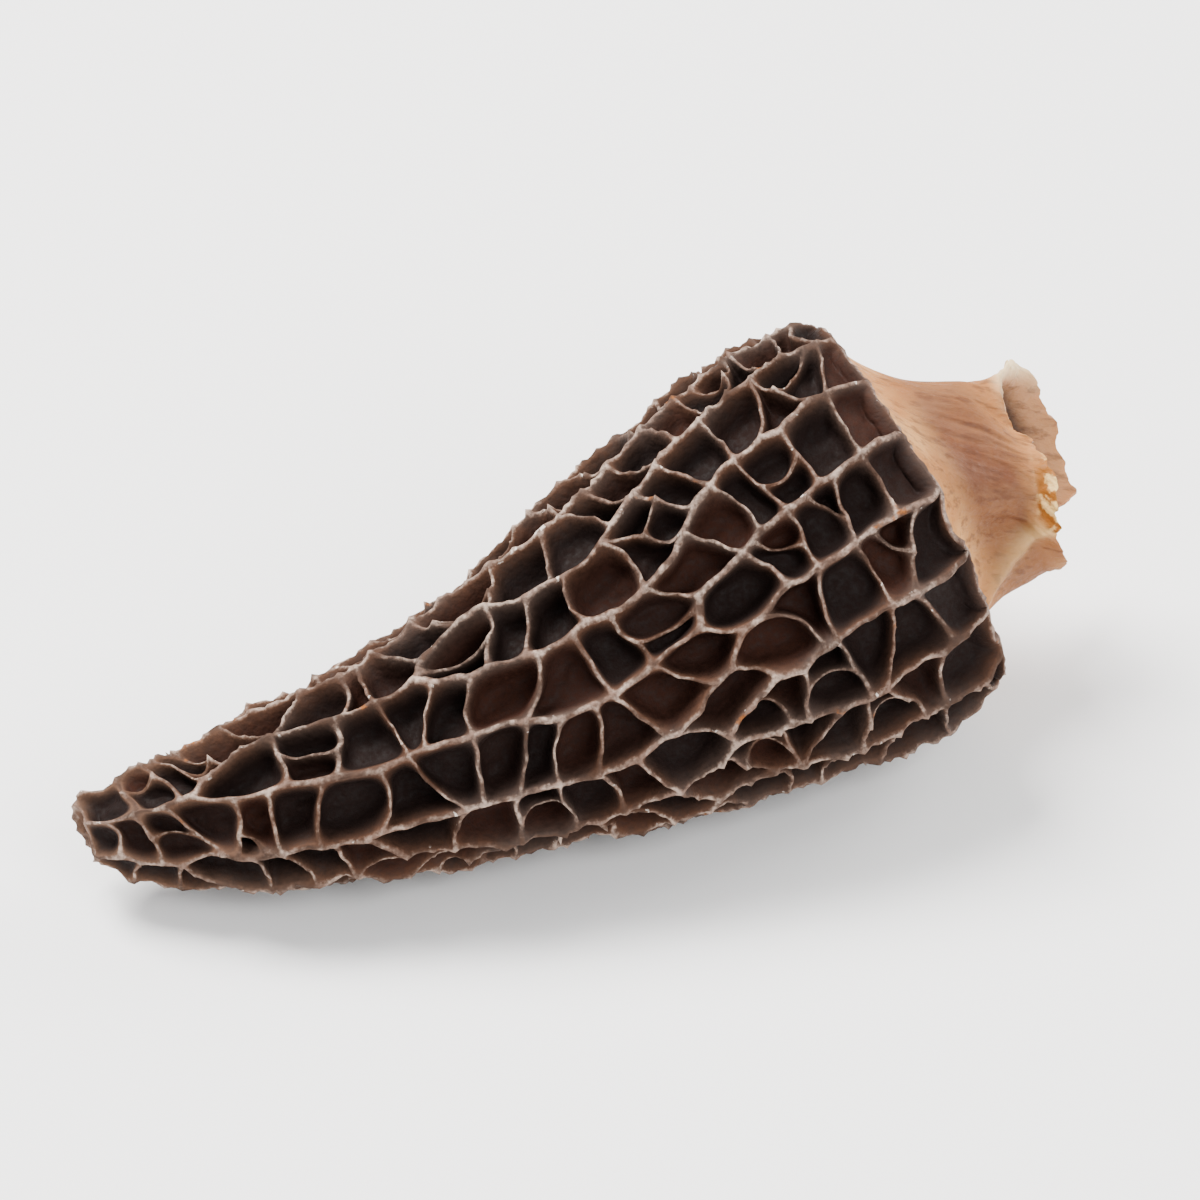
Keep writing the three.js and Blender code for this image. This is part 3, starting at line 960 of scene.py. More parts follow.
@dataclass
class Stem:
    """The short cut stem: a collapsed hollow tube that flares at its root and is torn at its end.

    Directions round it turn from the back upwards. `torn` gives pairs of a direction in degrees and
    how much longer the torn end is there. Each side is a direction in degrees and a width in
    radians. `crease_deg` is the crease's direction at the root and how far it has turned at the torn
    end, and `hollow` lies beside it. `curl_relief` is a share of the curl, not a height.
    """

    form: CapForm
    profile: Tuple[Tuple[float, float], ...] = (
        (0, 11.3), (1.3, 9.2), (3.8, 7.3), (6.6, 6.6), (8.8, 6.8), (10.4, 7.3),
    )
    wall: float = 1.15
    rim_wall: float = 0.5
    throat: float = 5.4
    offset: Tuple[float, float] = (0.3, 0.3)
    sag: Tuple[float, float] = (-1.6, -1.6)
    flat: float = 0.8
    flat_tilt_deg: float = 51
    lobes: Tuple[Tuple[float, int, float, float], ...] = ((0.045, 3, 0.25, 0.8), (0.035, 5, -0.3, 2.6))
    torn: Tuple[Tuple[float, float], ...] = (
        (0, 2.4), (24, 2.1), (51, 0.8), (66, -0.9), (94, -1.7), (118, -1.3), (141, -1.3), (162, -1.9),
        (181, -2.7), (206, -2.6), (231, -2.5), (262, -2.1), (283, -0.5), (298, 1.7), (321, 2.3), (345, 2.6),
    )
    ragged: Tuple[Tuple[float, float, int], ...] = ((0.35, 4.5, 8), (0.16, 12, 9), (0.06, 30, 10))
    uneven_rim: Tuple[float, float, int] = (0.25, 6, 12)
    keel: Swell = Swell(1.1, 230, math.radians(30))
    seam: float = 0.06
    twist: float = 0.9
    folds: Relief = Relief(0.24, 3.4, 2.0, 3)
    wrinkles: Tuple[Relief, ...] = (Relief(0.17, 13, 4, 4), Relief(0.07, 29, 9, 5))
    smooth_side_share: float = 0.35
    wrinkled_side: Tuple[float, float] = (105, 0.8)
    crease_deg: Tuple[float, float] = (214, -33)
    crease_height: float = 0.6
    hollow: Swell = Swell(-0.5, -17, 0.22)
    furrow: Swell = Swell(-0.3, 78, 0.16)
    furrow_turn_deg: float = 20
    pinch: Tuple[Swell, ...] = (Swell(-3.2, 108, 0.52), Swell(-0.9, 300, 0.8))
    curl: Tuple[Swell, ...] = (Swell(1.3, 163, 0.28), Swell(0.5, 45, 0.3))
    curl_relief: Relief = Relief(0.5, 16, 12, 6)
    amber_side: Tuple[float, float] = (163, 0.4)
    # where the painted highlight lies round the stem, and how wide it is
    painted_highlight_side: Tuple[float, float] = (50, 0.45)
    sides: int = 320
    rows: int = 96
    lining_rows: int = 40
    lining_from: Tuple[float, float] = (0.99, 0.12)

    def point(self, past: Array, radius: Array, angle: Array) -> Array:
        """Points of the stem.

        Args:
            past: distances past the cap's base.
            radius: distances from the stem's middle, before the lobes.
            angle: directions round it.

        Returns:
            One point for each set of values.
        """
        past, radius, angle = np.broadcast_arrays(*(np.asarray(v, float) for v in (past, radius, angle)))
        tilt = math.radians(self.flat_tilt_deg)
        reach = radius * lumpiness(self.lobes, past, angle)
        long = reach * np.cos(angle - tilt)
        short = reach * np.sin(angle - tilt) * self.flat
        sag = (np.maximum(past, 0) / self.profile[-1][0]) ** 1.5
        back = self.offset[0] + self.sag[0] * sag + long * math.cos(tilt) - short * math.sin(tilt)
        up = self.offset[1] + self.sag[1] * sag + long * math.sin(tilt) + short * math.cos(tilt)
        pitch = math.radians(self.form.pitch_deg)
        along = np.array([math.cos(pitch), 0, math.sin(pitch)])
        return self.form.section(self.form.length, back, up) + past[..., None] * along

    def torn_end(self, angle: Array) -> Array:
        """How much longer the torn end stands at directions round the stem.

        Args:
            angle: the directions.

        Returns:
            One length for each.
        """
        turns = np.radians([a for a, _ in self.torn])
        lengths = np.array([v for _, v in self.torn])
        return np.interp(angle % TURN, np.append(turns, turns[0] + TURN), np.append(lengths, lengths[0]))

    def crease_at(self, share: float) -> float:
        """The direction of the long crease, in degrees, at a share of the way along the stem."""
        return self.crease_deg[0] + self.crease_deg[1] * share

    def relief(self, share: float, angle: Array) -> Array:
        """Folds, creases and wrinkles: what is added to the radius along a ring.

        Args:
            share: the ring's place, from 0 at the root to 1 at the torn end.
            angle: the directions round the stem.

        Returns:
            One height for each direction.
        """
        twist = angle - self.twist * share
        turned = np.column_stack([np.cos(twist), np.sin(twist), np.zeros_like(angle)])
        near = nearness(angle, *self.wrinkled_side) * float(smooth(0.1, 0.3, share))
        wrinkled = self.smooth_side_share + (1 - self.smooth_side_share) * near
        skin = self.folds.at(turned, share) + wrinkled * sum(w.at(turned, share) for w in self.wrinkles)
        crease = math.radians(self.crease_at(share))
        skin = skin + self.crease_height * nearness(angle - crease, 0, 0.07 + 0.05 * share)
        skin = skin + self.hollow.at(angle - crease) * share
        furrow = self.furrow.at(angle - math.radians(self.furrow_turn_deg) * share)
        skin = skin + furrow * float(smooth(0.3, 0.9, share))
        pinch = sum(swell.at(angle) for swell in self.pinch)
        curl = sum(swell.at(angle) for swell in self.curl) * (1 + self.curl_relief.at(turned, share))
        end = float(smooth(0.55, 1.0, share)) * pinch + float(smooth(0.84, 1.0, share)) * curl
        return float(smooth(0.0, 0.16, share)) * skin + end

    def ring(self, share: float, angle: Array, thinner: float) -> Array:
        """The points of one ring.

        Args:
            share: its place, from 0 at the root to 1 at the torn end.
            angle: the directions round the stem.
            thinner: how far inside the stem's outside it lies.

        Returns:
            One point for each direction.
        """
        at = spline(self.profile, np.array([share]))[0]
        round_it = np.column_stack([np.cos(angle), np.sin(angle)])
        ragged = sum(height * lattice_noise(fine * round_it, seed) for height, fine, seed in self.ragged)
        torn = self.torn_end(angle) * float(smooth(0.35, 1, share)) + ragged * float(smooth(0.8, 1, share))
        keel = self.keel.at(angle) * math.sin(math.pi * share)
        radius = at[1] + keel + self.relief(share, angle) - thinner
        return self.point(self.seam + at[0] + torn, radius, angle)

    def build(self, shift: Array) -> bpy.types.Object:
        """Builds the stem, dresses it and puts it in the place of its solid.

        Args:
            shift: from the net's frame to the part's, in millimetres.

        Returns:
            The object.
        """
        surface = Surface()
        angle = np.arange(self.sides) * TURN / self.sides
        root, lip = self.draw_outside(surface, angle)
        last = self.draw_lining(surface, angle, lip)
        # the throat lies wholly in the painted shade of the hollow
        throat = surface.add(self.point(self.seam, self.throat, angle), inside=1.0, deep=1.0)
        surface.ring(last, throat)
        surface.ring(throat, root)
        made = surface.make("stem_flesh", shift)
        made.data.materials.append(PaleFlesh().make())
        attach(made, "root")
        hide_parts("stem")
        LOG.info("stem: %d faces", len(made.data.polygons))
        return made

    def draw_outside(self, surface: Surface, angle: Array) -> Tuple[Array, Array]:
        """Draws the outside, from the root to the torn end.

        Args:
            surface: what it is added to.
            angle: the directions round the stem.

        Returns:
            The points' indices in the first ring and in the last one.
        """
        near = 0.5 + 0.5 * np.cos(angle - math.radians(self.flat_tilt_deg) - math.pi / 2)
        rings = []
        for row in range(self.rows + 1):
            share = row / self.rows
            crease = self.crease_at(share)
            blush = float(smooth(0.14, 0.4, share) * (1 - 0.8 * smooth(0.6, 0.95, share)))
            marks = {
                "middle": blush * (0.2 + 0.8 * near),
                "amber": float(smooth(0.76, 0.96, share)) * nearness(angle, *self.amber_side),
                # painted highlight on the upper side, near the torn end
                "light": float(smooth(0.86, 1.0, share)) * nearness(angle, *self.painted_highlight_side),
                "fold": nearness(angle, crease, 0.09) * share,
                # painted shade on the lower side, beside the crease
                "under": nearness(angle, crease + 26, 0.34) * float(smooth(0.1, 0.5, share)),
            }
            rings.append(surface.add(self.ring(share, angle, 0.0), **marks))
        for outer, inner in zip(rings, rings[1:]):
            surface.ring(outer, inner)
        return rings[0], rings[-1]

    def draw_lining(self, surface: Surface, angle: Array, last: Array) -> Array:
        """Draws the inside, from the torn end back towards the root.

        Args:
            surface: what it is added to.
            angle: the directions round the stem.
            last: the indices of the torn end's points.

        Returns:
            The indices of the innermost ring's points.
        """
        height, fine, seed = self.uneven_rim
        uneven = height * lattice_noise(fine * np.column_stack([np.cos(angle), np.sin(angle)]), seed)
        for share in np.concatenate([[1.0], np.linspace(*self.lining_from, self.lining_rows)]):
            depth = 1 - share
            thinner = self.rim_wall + (self.wall - self.rim_wall) * float(smooth(0.0, 0.45, depth))
            rim = float(smooth(0.16, 0.0, depth))
            marks = {
                "middle": 0.2,
                "amber": rim * nearness(angle, *self.amber_side),
                # painted highlight on the upper corner of the torn lip
                "light": rim * nearness(angle, *self.painted_highlight_side),
                "inside": 1.0 - 0.5 * rim,
                # painted shade: the lining turns dark from about a seventh of the way in from the torn end
                "deep": float(smooth(0.14, 0.26, depth)),
            }
            ring = surface.add(self.ring(share, angle, thinner + uneven * rim), **marks)
            surface.ring(last, ring)
            last = ring
        return last


@dataclass
class Cap:
    """The hollow cap: its net of thin walls, its pits, its base and its hollow.

    Fields with two numbers are the least and the most of a random draw, apart from these.
    `waver`, `bumps` and `width_wave` give the height of waves and how fine they are. `rough`,
    `warp_wide` and `warp_close` give a height, how fine or how large the noise is, and its seed.
    `split_more` adds to `split_share` under a radius, `floor_share` is a share of the depth and what
    is drawn on top, `thick_ends` is how much wider walls end and over what length, `worn_until` is
    where the wear begins to fade and where it is gone. `rings_in`, `rings_down` and `rings_crest`
    give the rings from a wall's top to the pit's floor, and `tip_rings` those that close the tip.
    `base_meets_stem` is how far before the stem's root and outside it the base ends.
    """

    form: CapForm
    net: Net
    stem: Stem
    pit_depth: float = 2.6
    depth_per_radius: float = 0.4
    depth_spread: float = 0.1
    edge_depth: float = 0.45
    fade_over: float = 4
    ragged: float = 0.35
    flesh: float = 1.3
    hollow_from: float = 9
    hollow_stations: Tuple[float, ...] = (10, 20, 36, 51, 55.5)
    hollow_narrows_at: float = 59.2
    step: float = 0.36
    split_share: float = 0.34
    split_more: Tuple[float, float] = (0.25, 8)
    split_least_radius: float = 4
    split_least_wall: float = 1.5
    split_at: Tuple[float, float] = (0.38, 0.62)
    split_drop: Tuple[float, float] = (0.1, 0.35)
    split_depth_share: float = 0.92
    low_wall_drop: Tuple[float, float] = (0.3, 0.7)
    edge_pulled_back: float = 0.07
    scallop: Tuple[float, float] = (0.2, 1.6)
    waver: Tuple[Tuple[float, float], ...] = ((0.075, 2.9), (0.05, 6.3))
    waver_jitter: float = 0.07
    crooked_from: float = 2.5
    bumps: Tuple[Tuple[float, float], ...] = ((0.06, 4.1), (0.045, 9.7))
    bumps_jitter: float = 0.1
    rib_bumps: float = 1.5
    width_spread: Tuple[float, float] = (0.7, 1.3)
    width_wave: Tuple[float, float] = (0.25, 3.3)
    full_width_from: float = 9
    thick_ends: Tuple[float, float] = (0.6, 0.4)
    floor_share: Tuple[float, float] = (1.1, 0.14)
    rough: Tuple[float, float, int] = (0.22, 0.9, 21)
    warp_wide: Tuple[float, float, int] = (0.3, 4.5, 31)
    warp_close: Tuple[float, float, int] = (0.1, 1.9, 41)
    warp_tip: float = 0.38
    worn_until: Tuple[float, float] = (2, 17)
    tip_rings: Tuple[Tuple[float, float], ...] = ((0.14, 0.8), (0.3, 0.45), (0.55, 0.35), (0.8, 0.5))
    tip_dimple: float = 0.9
    base_meets_stem: Tuple[float, float] = (0.05, 0.2)
    seed: int = 11
    rings_in: Tuple[float, ...] = (0.0, 0.03, 0.065, 0.12, 0.21, 0.4, 0.66)
    rings_down: Tuple[float, ...] = (0.03, 0.14, 0.36, 0.66, 0.88, 0.97, 1.0)
    rings_crest: Tuple[float, ...] = (0.66, 0.36, 0.2, 0.08, 0.02, 0.0, 0.0)
    surface: Surface = field(init=False, default_factory=Surface)
    paths: Dict[Tuple[int, int], Tuple[Array, Array, Array, Array]] = field(init=False, default_factory=dict)
    low_walls: Set[Tuple[int, int]] = field(init=False, default_factory=set)
    edges: Dict[bool, Set[int]] = field(init=False, default_factory=dict)
    lifts: Array = field(init=False, default_factory=lambda: np.zeros(0))
    vertex: Dict[int, int] = field(init=False, default_factory=dict)

    def fade(self, height: Array) -> Array:
        """1 over most of the cap, falling to 0 at the base's edge."""
        length = self.form.length
        return 1 - smooth(length - self.fade_over, length, self.form.at("height", height)["s"])

    def depth_at(self, height: float) -> float:
        """How deep a pit is in the solid."""
        full = min(self.pit_depth, self.depth_per_radius * float(self.form.at("height", height)["r"]))
        return full * (self.edge_depth + (1 - self.edge_depth) * float(self.fade(height)))

    def middle_of(self, loop: Sequence[int]) -> Tuple[Array, Array]:
        """A loop's corners, unrolled round the first one, and their middle.

        Args:
            loop: the corners round a pit.

        Returns:
            The corners in the plane, and their mean.
        """
        first = self.net.corners[loop[0]][0]
        flat = np.array([self.net.corners[c] for c in loop], float)
        flat[:, 0] = first + self.form.sideways(first, flat[:, 0])
        return flat, flat.mean(0)

    def build(self) -> Tuple[bpy.types.Object, Array]:
        """Builds the cap, dresses it and puts it in the place of its solid.

        Returns:
            The object, and the shift from the net's frame to the part's.
        """
        self.net.lay()
        random = seeded_numbers(self.net.seed + 1)
        corners = np.array(self.net.corners)
        lifts = np.array([-self.ragged * random() for _ in corners]) * self.fade(corners[:, 1])
        used = sorted({c for loop in self.net.loops for c in loop})
        solid = self.form.on_net(corners[used, 0], corners[used, 1], lifts[used])
        level = solid[:, 2].min() + self.form.trim
        shift = self.shift_from(solid, level)
        depths = []
        for loop in self.net.loops:
            _, middle = self.middle_of(loop)
            depths.append(self.depth_at(float(middle[1])) * (1 + self.depth_spread * (2 * random() - 1)))
        rng = np.random.default_rng(self.seed)
        pits = self.split_pits(rng, list(lifts), depths)
        self.draw_walls(rng, pits)
        for loop, depth, _ in pits:
            self.sink_pit(rng, loop, depth)
        self.close_tip()
        self.close_base()
        for k, points in enumerate(self.surface.points):
            bent = points + self.warp(points)
            self.surface.points[k] = np.column_stack([bent[:, :2], np.maximum(bent[:, 2], level)])
        made = self.surface.make("cap_flesh", shift)
        made.data.materials.append(DarkFlesh().make())
        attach(made, "root")
        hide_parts("cap")
        LOG.info("cap: %d pits, %d faces", len(pits), len(made.data.polygons))
        return made, shift

    def warp(self, points: Array) -> Array:
        """How far the drying has pulled points out of place, most at the tip.

        Args:
            points: the points, in the net's frame.

        Returns:
            One move for each point.
        """
        tip = 1 - smooth(-2.0, 13.0, points[:, 0])
        wide, wide_size, wide_seed = self.warp_wide
        close, close_size, close_seed = self.warp_close
        moves = []
        for axis in range(3):
            slow = wide * lattice_noise(points / wide_size, wide_seed + axis)
            quick = (close + self.warp_tip * tip) * lattice_noise(points / close_size, close_seed + axis)
            moves.append(slow + quick)
        return np.column_stack(moves)

    def shift_from(self, solid: Array, level: float) -> Array:
        """The shift that lays the solid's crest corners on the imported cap's box.

        Args:
            solid: the crest corners as the solid has them.
            level: the height at which they are pressed flat.

        Returns:
            The shift in millimetres.
        """
        low, high = (np.array(v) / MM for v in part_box("cap"))
        mine = np.array([solid[:, 0].min(), solid[:, 1].min(), level])
        shift = low - mine
        LOG.info("cap's box differs by %s mm", np.round(solid.max(0) + shift - high, 3))
        return shift

    def split_pits(self, rng: np.random.Generator, lifts: List[float],
                   depths: List[float]) -> List[Tuple[List[int], float, int]]:
        """Parts some pits with a low wall between the middles of two of their walls.

        Args:
            rng: the source of random numbers.
            lifts: the height of each corner; those of new corners are added.
            depths: the depth of each pit.

        Returns:
            Each pit's loop of corners, depth and lane.
        """
        halves: Dict[Tuple[int, int], int] = {}
        parted: Dict[int, Tuple[int, int]] = {}
        for index, loop in enumerate(self.net.loops):
            size = len(loop)
            radius = float(self.form.at("height", self.middle_of(loop)[1][1])["r"])
            more, under = self.split_more
            wanted = self.split_share + more * (radius < under)
            if size < 5 or rng.random() > wanted or radius < self.split_least_radius:
                continue
            walls = [tuple(sorted((loop[i], loop[(i + 1) % size]))) for i in range(size)]
            lengths = [self.wall_length(a, b) for a, b in walls]
            first = int(np.argmax(lengths))
            second = (first + size // 2) % size
            pair = walls[first], walls[second]
            if any(w in halves or all(self.net.is_edge(c) for c in w) for w in pair):
                continue
            if min(lengths[first], lengths[second]) < self.split_least_wall:
                continue
            ends = []
            for a, b in pair:
                share = rng.uniform(*self.split_at)
                p, q = self.net.corners[a], self.net.corners[b]
                dx = float(self.form.sideways(p[0], q[0]))
                self.net.corners.append((p[0] + dx * share, p[1] + (q[1] - p[1]) * share))
                drop = rng.uniform(*self.split_drop)
                lifts.append(lifts[a] + (lifts[b] - lifts[a]) * share - drop)
                halves[(a, b)] = len(self.net.corners) - 1
                ends.append(halves[(a, b)])
            parted[index] = (ends[0], ends[1])
        self.lifts = np.array(lifts)
        pits = []
        for index, loop in enumerate(self.net.loops):
            full = []
            for i, a in enumerate(loop):
                full.append(a)
                half = halves.get(tuple(sorted((a, loop[(i + 1) % len(loop)]))))
                if half is not None:
                    full.append(half)
            lane = self.net.lane_of[index]
            if index in parted:
                i, j = sorted(full.index(c) for c in parted[index])
                pits.append((full[i : j + 1], depths[index] * self.split_depth_share, lane))
                pits.append((full[j:] + full[: i + 1], depths[index], lane))
            else:
                pits.append((full, depths[index], lane))
        self.low_walls = {tuple(sorted(pair)) for pair in parted.values()}
        return pits

    def wall_length(self, a: int, b: int) -> float:
        """A wall's length in millimetres.

        Args:
            a: the corner it starts at.
            b: the corner it ends at.

        Returns:
            The length over the cap's surface.
        """
        p, q = self.net.corners[a], self.net.corners[b]
        dx = float(self.form.sideways(p[0], q[0]))
        scale = float(self.form.at("height", (p[1] + q[1]) / 2)["r"])
        return math.hypot(dx / self.form.rib_pull, q[1] - p[1]) * scale

    def draw_walls(self, rng: np.random.Generator, pits: List[Tuple[List[int], float, int]]) -> None:
        """Draws the top of every wall once, curved and uneven, between its two corners.

        Args:
            rng: the source of random numbers.
            pits: each pit's loop of corners, depth and lane.
        """
        used = sorted({c for loop, _, _ in pits for c in loop})
        for c in used:
            x, y = self.net.corners[c]
            if self.net.is_edge(c):
                self.edges.setdefault(y < 1, set()).add(c)
                self.net.corners[c] = (x, y if y < 1 else y - rng.uniform(0, self.edge_pulled_back))
        corners = np.array(self.net.corners)
        crest = self.form.on_net(corners[used, 0], corners[used, 1], self.lifts[used])
        ids = self.surface.add(crest, crest=1.0, tone=0.5)
        self.vertex = dict(zip(used, ids.tolist()))
        lanes: Dict[Tuple[int, int], List[int]] = {}
        for loop, _, lane in pits:
            for i, a in enumerate(loop):
                lanes.setdefault(tuple(sorted((a, loop[(i + 1) % len(loop)]))), []).append(lane)
        for (a, b), sides in lanes.items():
            if (a, b) in self.low_walls:
                kind = Wall.LOW
            elif len(sides) == 1:
                kind = Wall.EDGE
            else:
                kind = Wall.CROSS if sides[0] == sides[1] else Wall.RIB
            self.paths[(a, b)] = self.draw_wall(rng, a, b, kind)

    def draw_wall(self, rng: np.random.Generator, a: int, b: int,
                  kind: Wall) -> Tuple[Array, Array, Array, Array]:
        """Draws one wall's top.

        Args:
            rng: the source of random numbers.
            a: the corner it starts at.
            b: the corner it ends at.
            kind: what kind of wall it is.

        Returns:
            The indices, places in the plane, heights and half widths of its points, ends included.
        """
        shape = WALLS[kind]
        p, q = np.array(self.net.corners[a]), np.array(self.net.corners[b])
        run = np.array([float(self.form.sideways(p[0], q[0])), q[1] - p[1]])
        scale = float(self.form.at("height", (p[1] + q[1]) / 2)["r"])
        unit = np.array([scale / self.form.rib_pull, scale])
        length = float(np.hypot(*(run * unit)))
        count = max(3, round(length / self.step))
        t = np.arange(count + 1) / count
        arch = np.sin(math.pi * t)
        phase = rng.uniform(0, TURN, 6)
        tight = min(1.0, length / self.crooked_from)
        swing = rng.uniform(-1, 1) * shape.bow * length * arch
        waver = ripple(self.waver, phase[0:2], length * t) + self.waver_jitter * jitter(rng, count + 1)
        side = swing + waver * np.minimum(1, 3 * arch) * tight
        if kind is Wall.EDGE:
            at_base = p[1] > self.form.top / 2
            side = rng.uniform(*self.scallop) * arch**0.8 * tight if at_base else 0 * t
        across = np.array([-run[1] * unit[1], run[0] * unit[0]]) / max(length, 1e-9)
        if kind is Wall.EDGE and across[1] > 0:
            across = -across
        places = p + t[:, None] * run + side[:, None] * across / unit
        fade = float(self.fade((p[1] + q[1]) / 2))
        dip = rng.uniform(*shape.dip) * (0.3 + 0.7 * fade) * tight * (4 * t * (1 - t)) ** 0.8
        bumps = ripple(self.bumps, phase[3:5], length * t) + self.bumps_jitter * jitter(rng, count + 1)
        if kind is Wall.RIB:
            bumps = bumps * self.rib_bumps
        lifts = self.lifts[a] + (self.lifts[b] - self.lifts[a]) * t - dip
        lifts = lifts - (0.08 + bumps) * np.minimum(1, 2.5 * arch)
        if kind is Wall.LOW:
            lifts = lifts - rng.uniform(*self.low_wall_drop) * np.minimum(1, 1.6 * arch)
        widths = shape.half_width * (1 + ripple([self.width_wave], phase[5:], length * t))
        widths = widths * (0.75 + 0.25 * min(1, scale / self.full_width_from))
        widths = widths * rng.uniform(*self.width_spread)
        thicker, reach = self.thick_ends
        widths = widths * (1 + thicker * np.exp(-((np.minimum(t, 1 - t) * length / reach) ** 2)))
        inner = self.form.on_net(places[1:-1, 0], places[1:-1, 1], lifts[1:-1])
        shade = {Wall.LOW: 0.74, Wall.CROSS: 0.9}.get(kind, 1.0) - rng.uniform(0, 0.16)
        ids = self.surface.add(inner, crest=shade, tone=0.5)
        ids = np.concatenate([[self.vertex[a]], ids, [self.vertex[b]]])
        return ids, places, lifts, widths

    def worn_at(self, height: float) -> float:
        """How worn and pale the flesh is: 1 at the tip, 0 over most of the cap."""
        return float(1 - smooth(*self.worn_until, self.form.at("height", height)["s"]))

    def loop_points(self, loop: Sequence[int]) -> Tuple[Array, Array, Array, Array]:
        """The whole boundary of a pit: its points' indices, places, heights and half widths.

        Args:
            loop: the corners round the pit.

        Returns:
            One array of each, in order round the pit.
        """
        parts: List[List[Array]] = [[], [], [], []]
        start = self.net.corners[loop[0]][0]
        for i, a in enumerate(loop):
            b = loop[(i + 1) % len(loop)]
            path = self.paths[(min(a, b), max(a, b))]
            if a > b:
                path = tuple(v[::-1] for v in path)
            ids, places, lifts, widths = path
            places = places.copy()
            places[:, 0] += start + float(self.form.sideways(start, places[0, 0])) - places[0, 0]
            start = places[-1, 0]
            for part, values in zip(parts, (ids, places, lifts, widths)):
                part.append(values[:-1])
        return tuple(np.concatenate(part) for part in parts)

    def sink_pit(self, rng: np.random.Generator, loop: Sequence[int], depth: float) -> None:
        """Makes one pit: the wall's flat top, its side and the rounded floor.

        Args:
            rng: the source of random numbers.
            loop: the corners round the pit.
            depth: the pit's depth.
        """
        ids, places, lifts, widths = self.loop_points(loop)
        scale = float(self.form.at("height", places[:, 1].mean())["r"])
        unit = np.array([scale / self.form.rib_pull, scale])
        flat = places * unit
        after = np.roll(flat, -1, 0)
        twice = flat[:, 0] * after[:, 1] - after[:, 0] * flat[:, 1]
        centre = ((flat + after) * twice[:, None]).sum(0) / (3 * twice.sum())
        flat = flat - centre
        tangent = blur(np.roll(flat, -1, 0) - np.roll(flat, 1, 0), 2)
        tangent /= np.maximum(np.linalg.norm(tangent, axis=1), 1e-9)[:, None]
        inward = np.column_stack([-tangent[:, 1], tangent[:, 0]])
        half = blur(widths, 2)
        reach = np.linalg.norm(flat, axis=1)
        half = np.minimum(half, 0.3 * reach)
        edge = blur(flat + inward * half[:, None], 1)
        ring, tone = ids, float(rng.random())
        heights = blur(lifts, 2)
        rounded = edge
        ground = -depth * (self.floor_share[0] + self.floor_share[1] * rng.random())
        rough_height, fineness, rough_seed = self.rough
        worn = self.worn_at(float(places[:, 1].mean()))
        for k, (inside, down, crest) in enumerate(zip(self.rings_in, self.rings_down, self.rings_crest)):
            if k:
                rounded = blur(rounded, 2 + k)
                heights = blur(heights, 2)
            spot = rounded * (1 - inside)
            layer = np.full(len(spot), 0.7 * k)
            rough = lattice_noise(np.column_stack([(spot + centre) * fineness, layer]), rough_seed)
            level = heights + (ground - heights) * down - (0.03 if k == 0 else 0.0)
            level = level + rough_height * rough * min(1.0, down * 1.2) * (k > 1)
            spot = spot * (1 + 0.05 * rough[:, None] * (k > 1))
            where = (spot + centre) / unit
            points = self.form.on_net(where[:, 0], where[:, 1], level)
            inner = self.surface.add(points, crest=crest, tone=tone, worn=worn)
            self.surface.ring(ring, inner)
            ring = inner
        spot = centre / unit
        middle = self.form.on_net(spot[:1], spot[1:], np.array([ground]))
        self.surface.fan(ring, int(self.surface.add(middle, crest=0.0, tone=tone)[0]))

    def edge_loop(self, at_tip: bool) -> Tuple[Array, Array]:
        """The boundary of the net at the tip or at the base, in the order of the angle.

        Args:
            at_tip: whether it is the tip's.

        Returns:
            The points' indices, and their places in the plane.
        """
        walls = [w for w in self.paths if w not in self.low_walls and set(w) <= self.edges[at_tip]]
        after = {}
        for a, b in walls:
            forward = self.form.sideways(self.net.corners[a][0], self.net.corners[b][0]) > 0
            after[a if forward else b] = b if forward else a
        start = min(after, key=lambda c: self.net.corners[c][0] % self.form.around)
        ids, places, corner = [], [], start
        while True:
            nxt = after[corner]
            path = self.paths[(min(corner, nxt), max(corner, nxt))]
            step = slice(None, -1) if corner < nxt else slice(None, 0, -1)
            ids.append(path[0][step])
            places.append(path[1][step])
            corner = nxt
            if corner == start:
                break
        return np.concatenate(ids), np.concatenate(places)

    def close_tip(self) -> None:
        """Closes the small round tip with a few shallow folds."""
        ids, places = self.edge_loop(at_tip=True)
        outer = np.vstack(self.surface.points)[ids]
        apex = self.form.point(self.tip_dimple, 0.0, 0.0)
        ring = ids[::-1]
        outer = outer[::-1]
        angle = places[::-1, 0] / self.form.rib_pull
        for share, crest in self.tip_rings:
            fold = 0.16 * np.sin(5 * angle + 3 * share)
            points = outer + (apex - outer) * share
            points[:, 0] += fold + 0.5 * share * (1 - share)
            inner = self.surface.add(points, crest=crest, tone=0.6, worn=1.0)
            self.surface.ring(ring, inner)
            ring = inner
        self.surface.fan(ring, int(self.surface.add(apex, crest=0.5, tone=0.6)[0]))

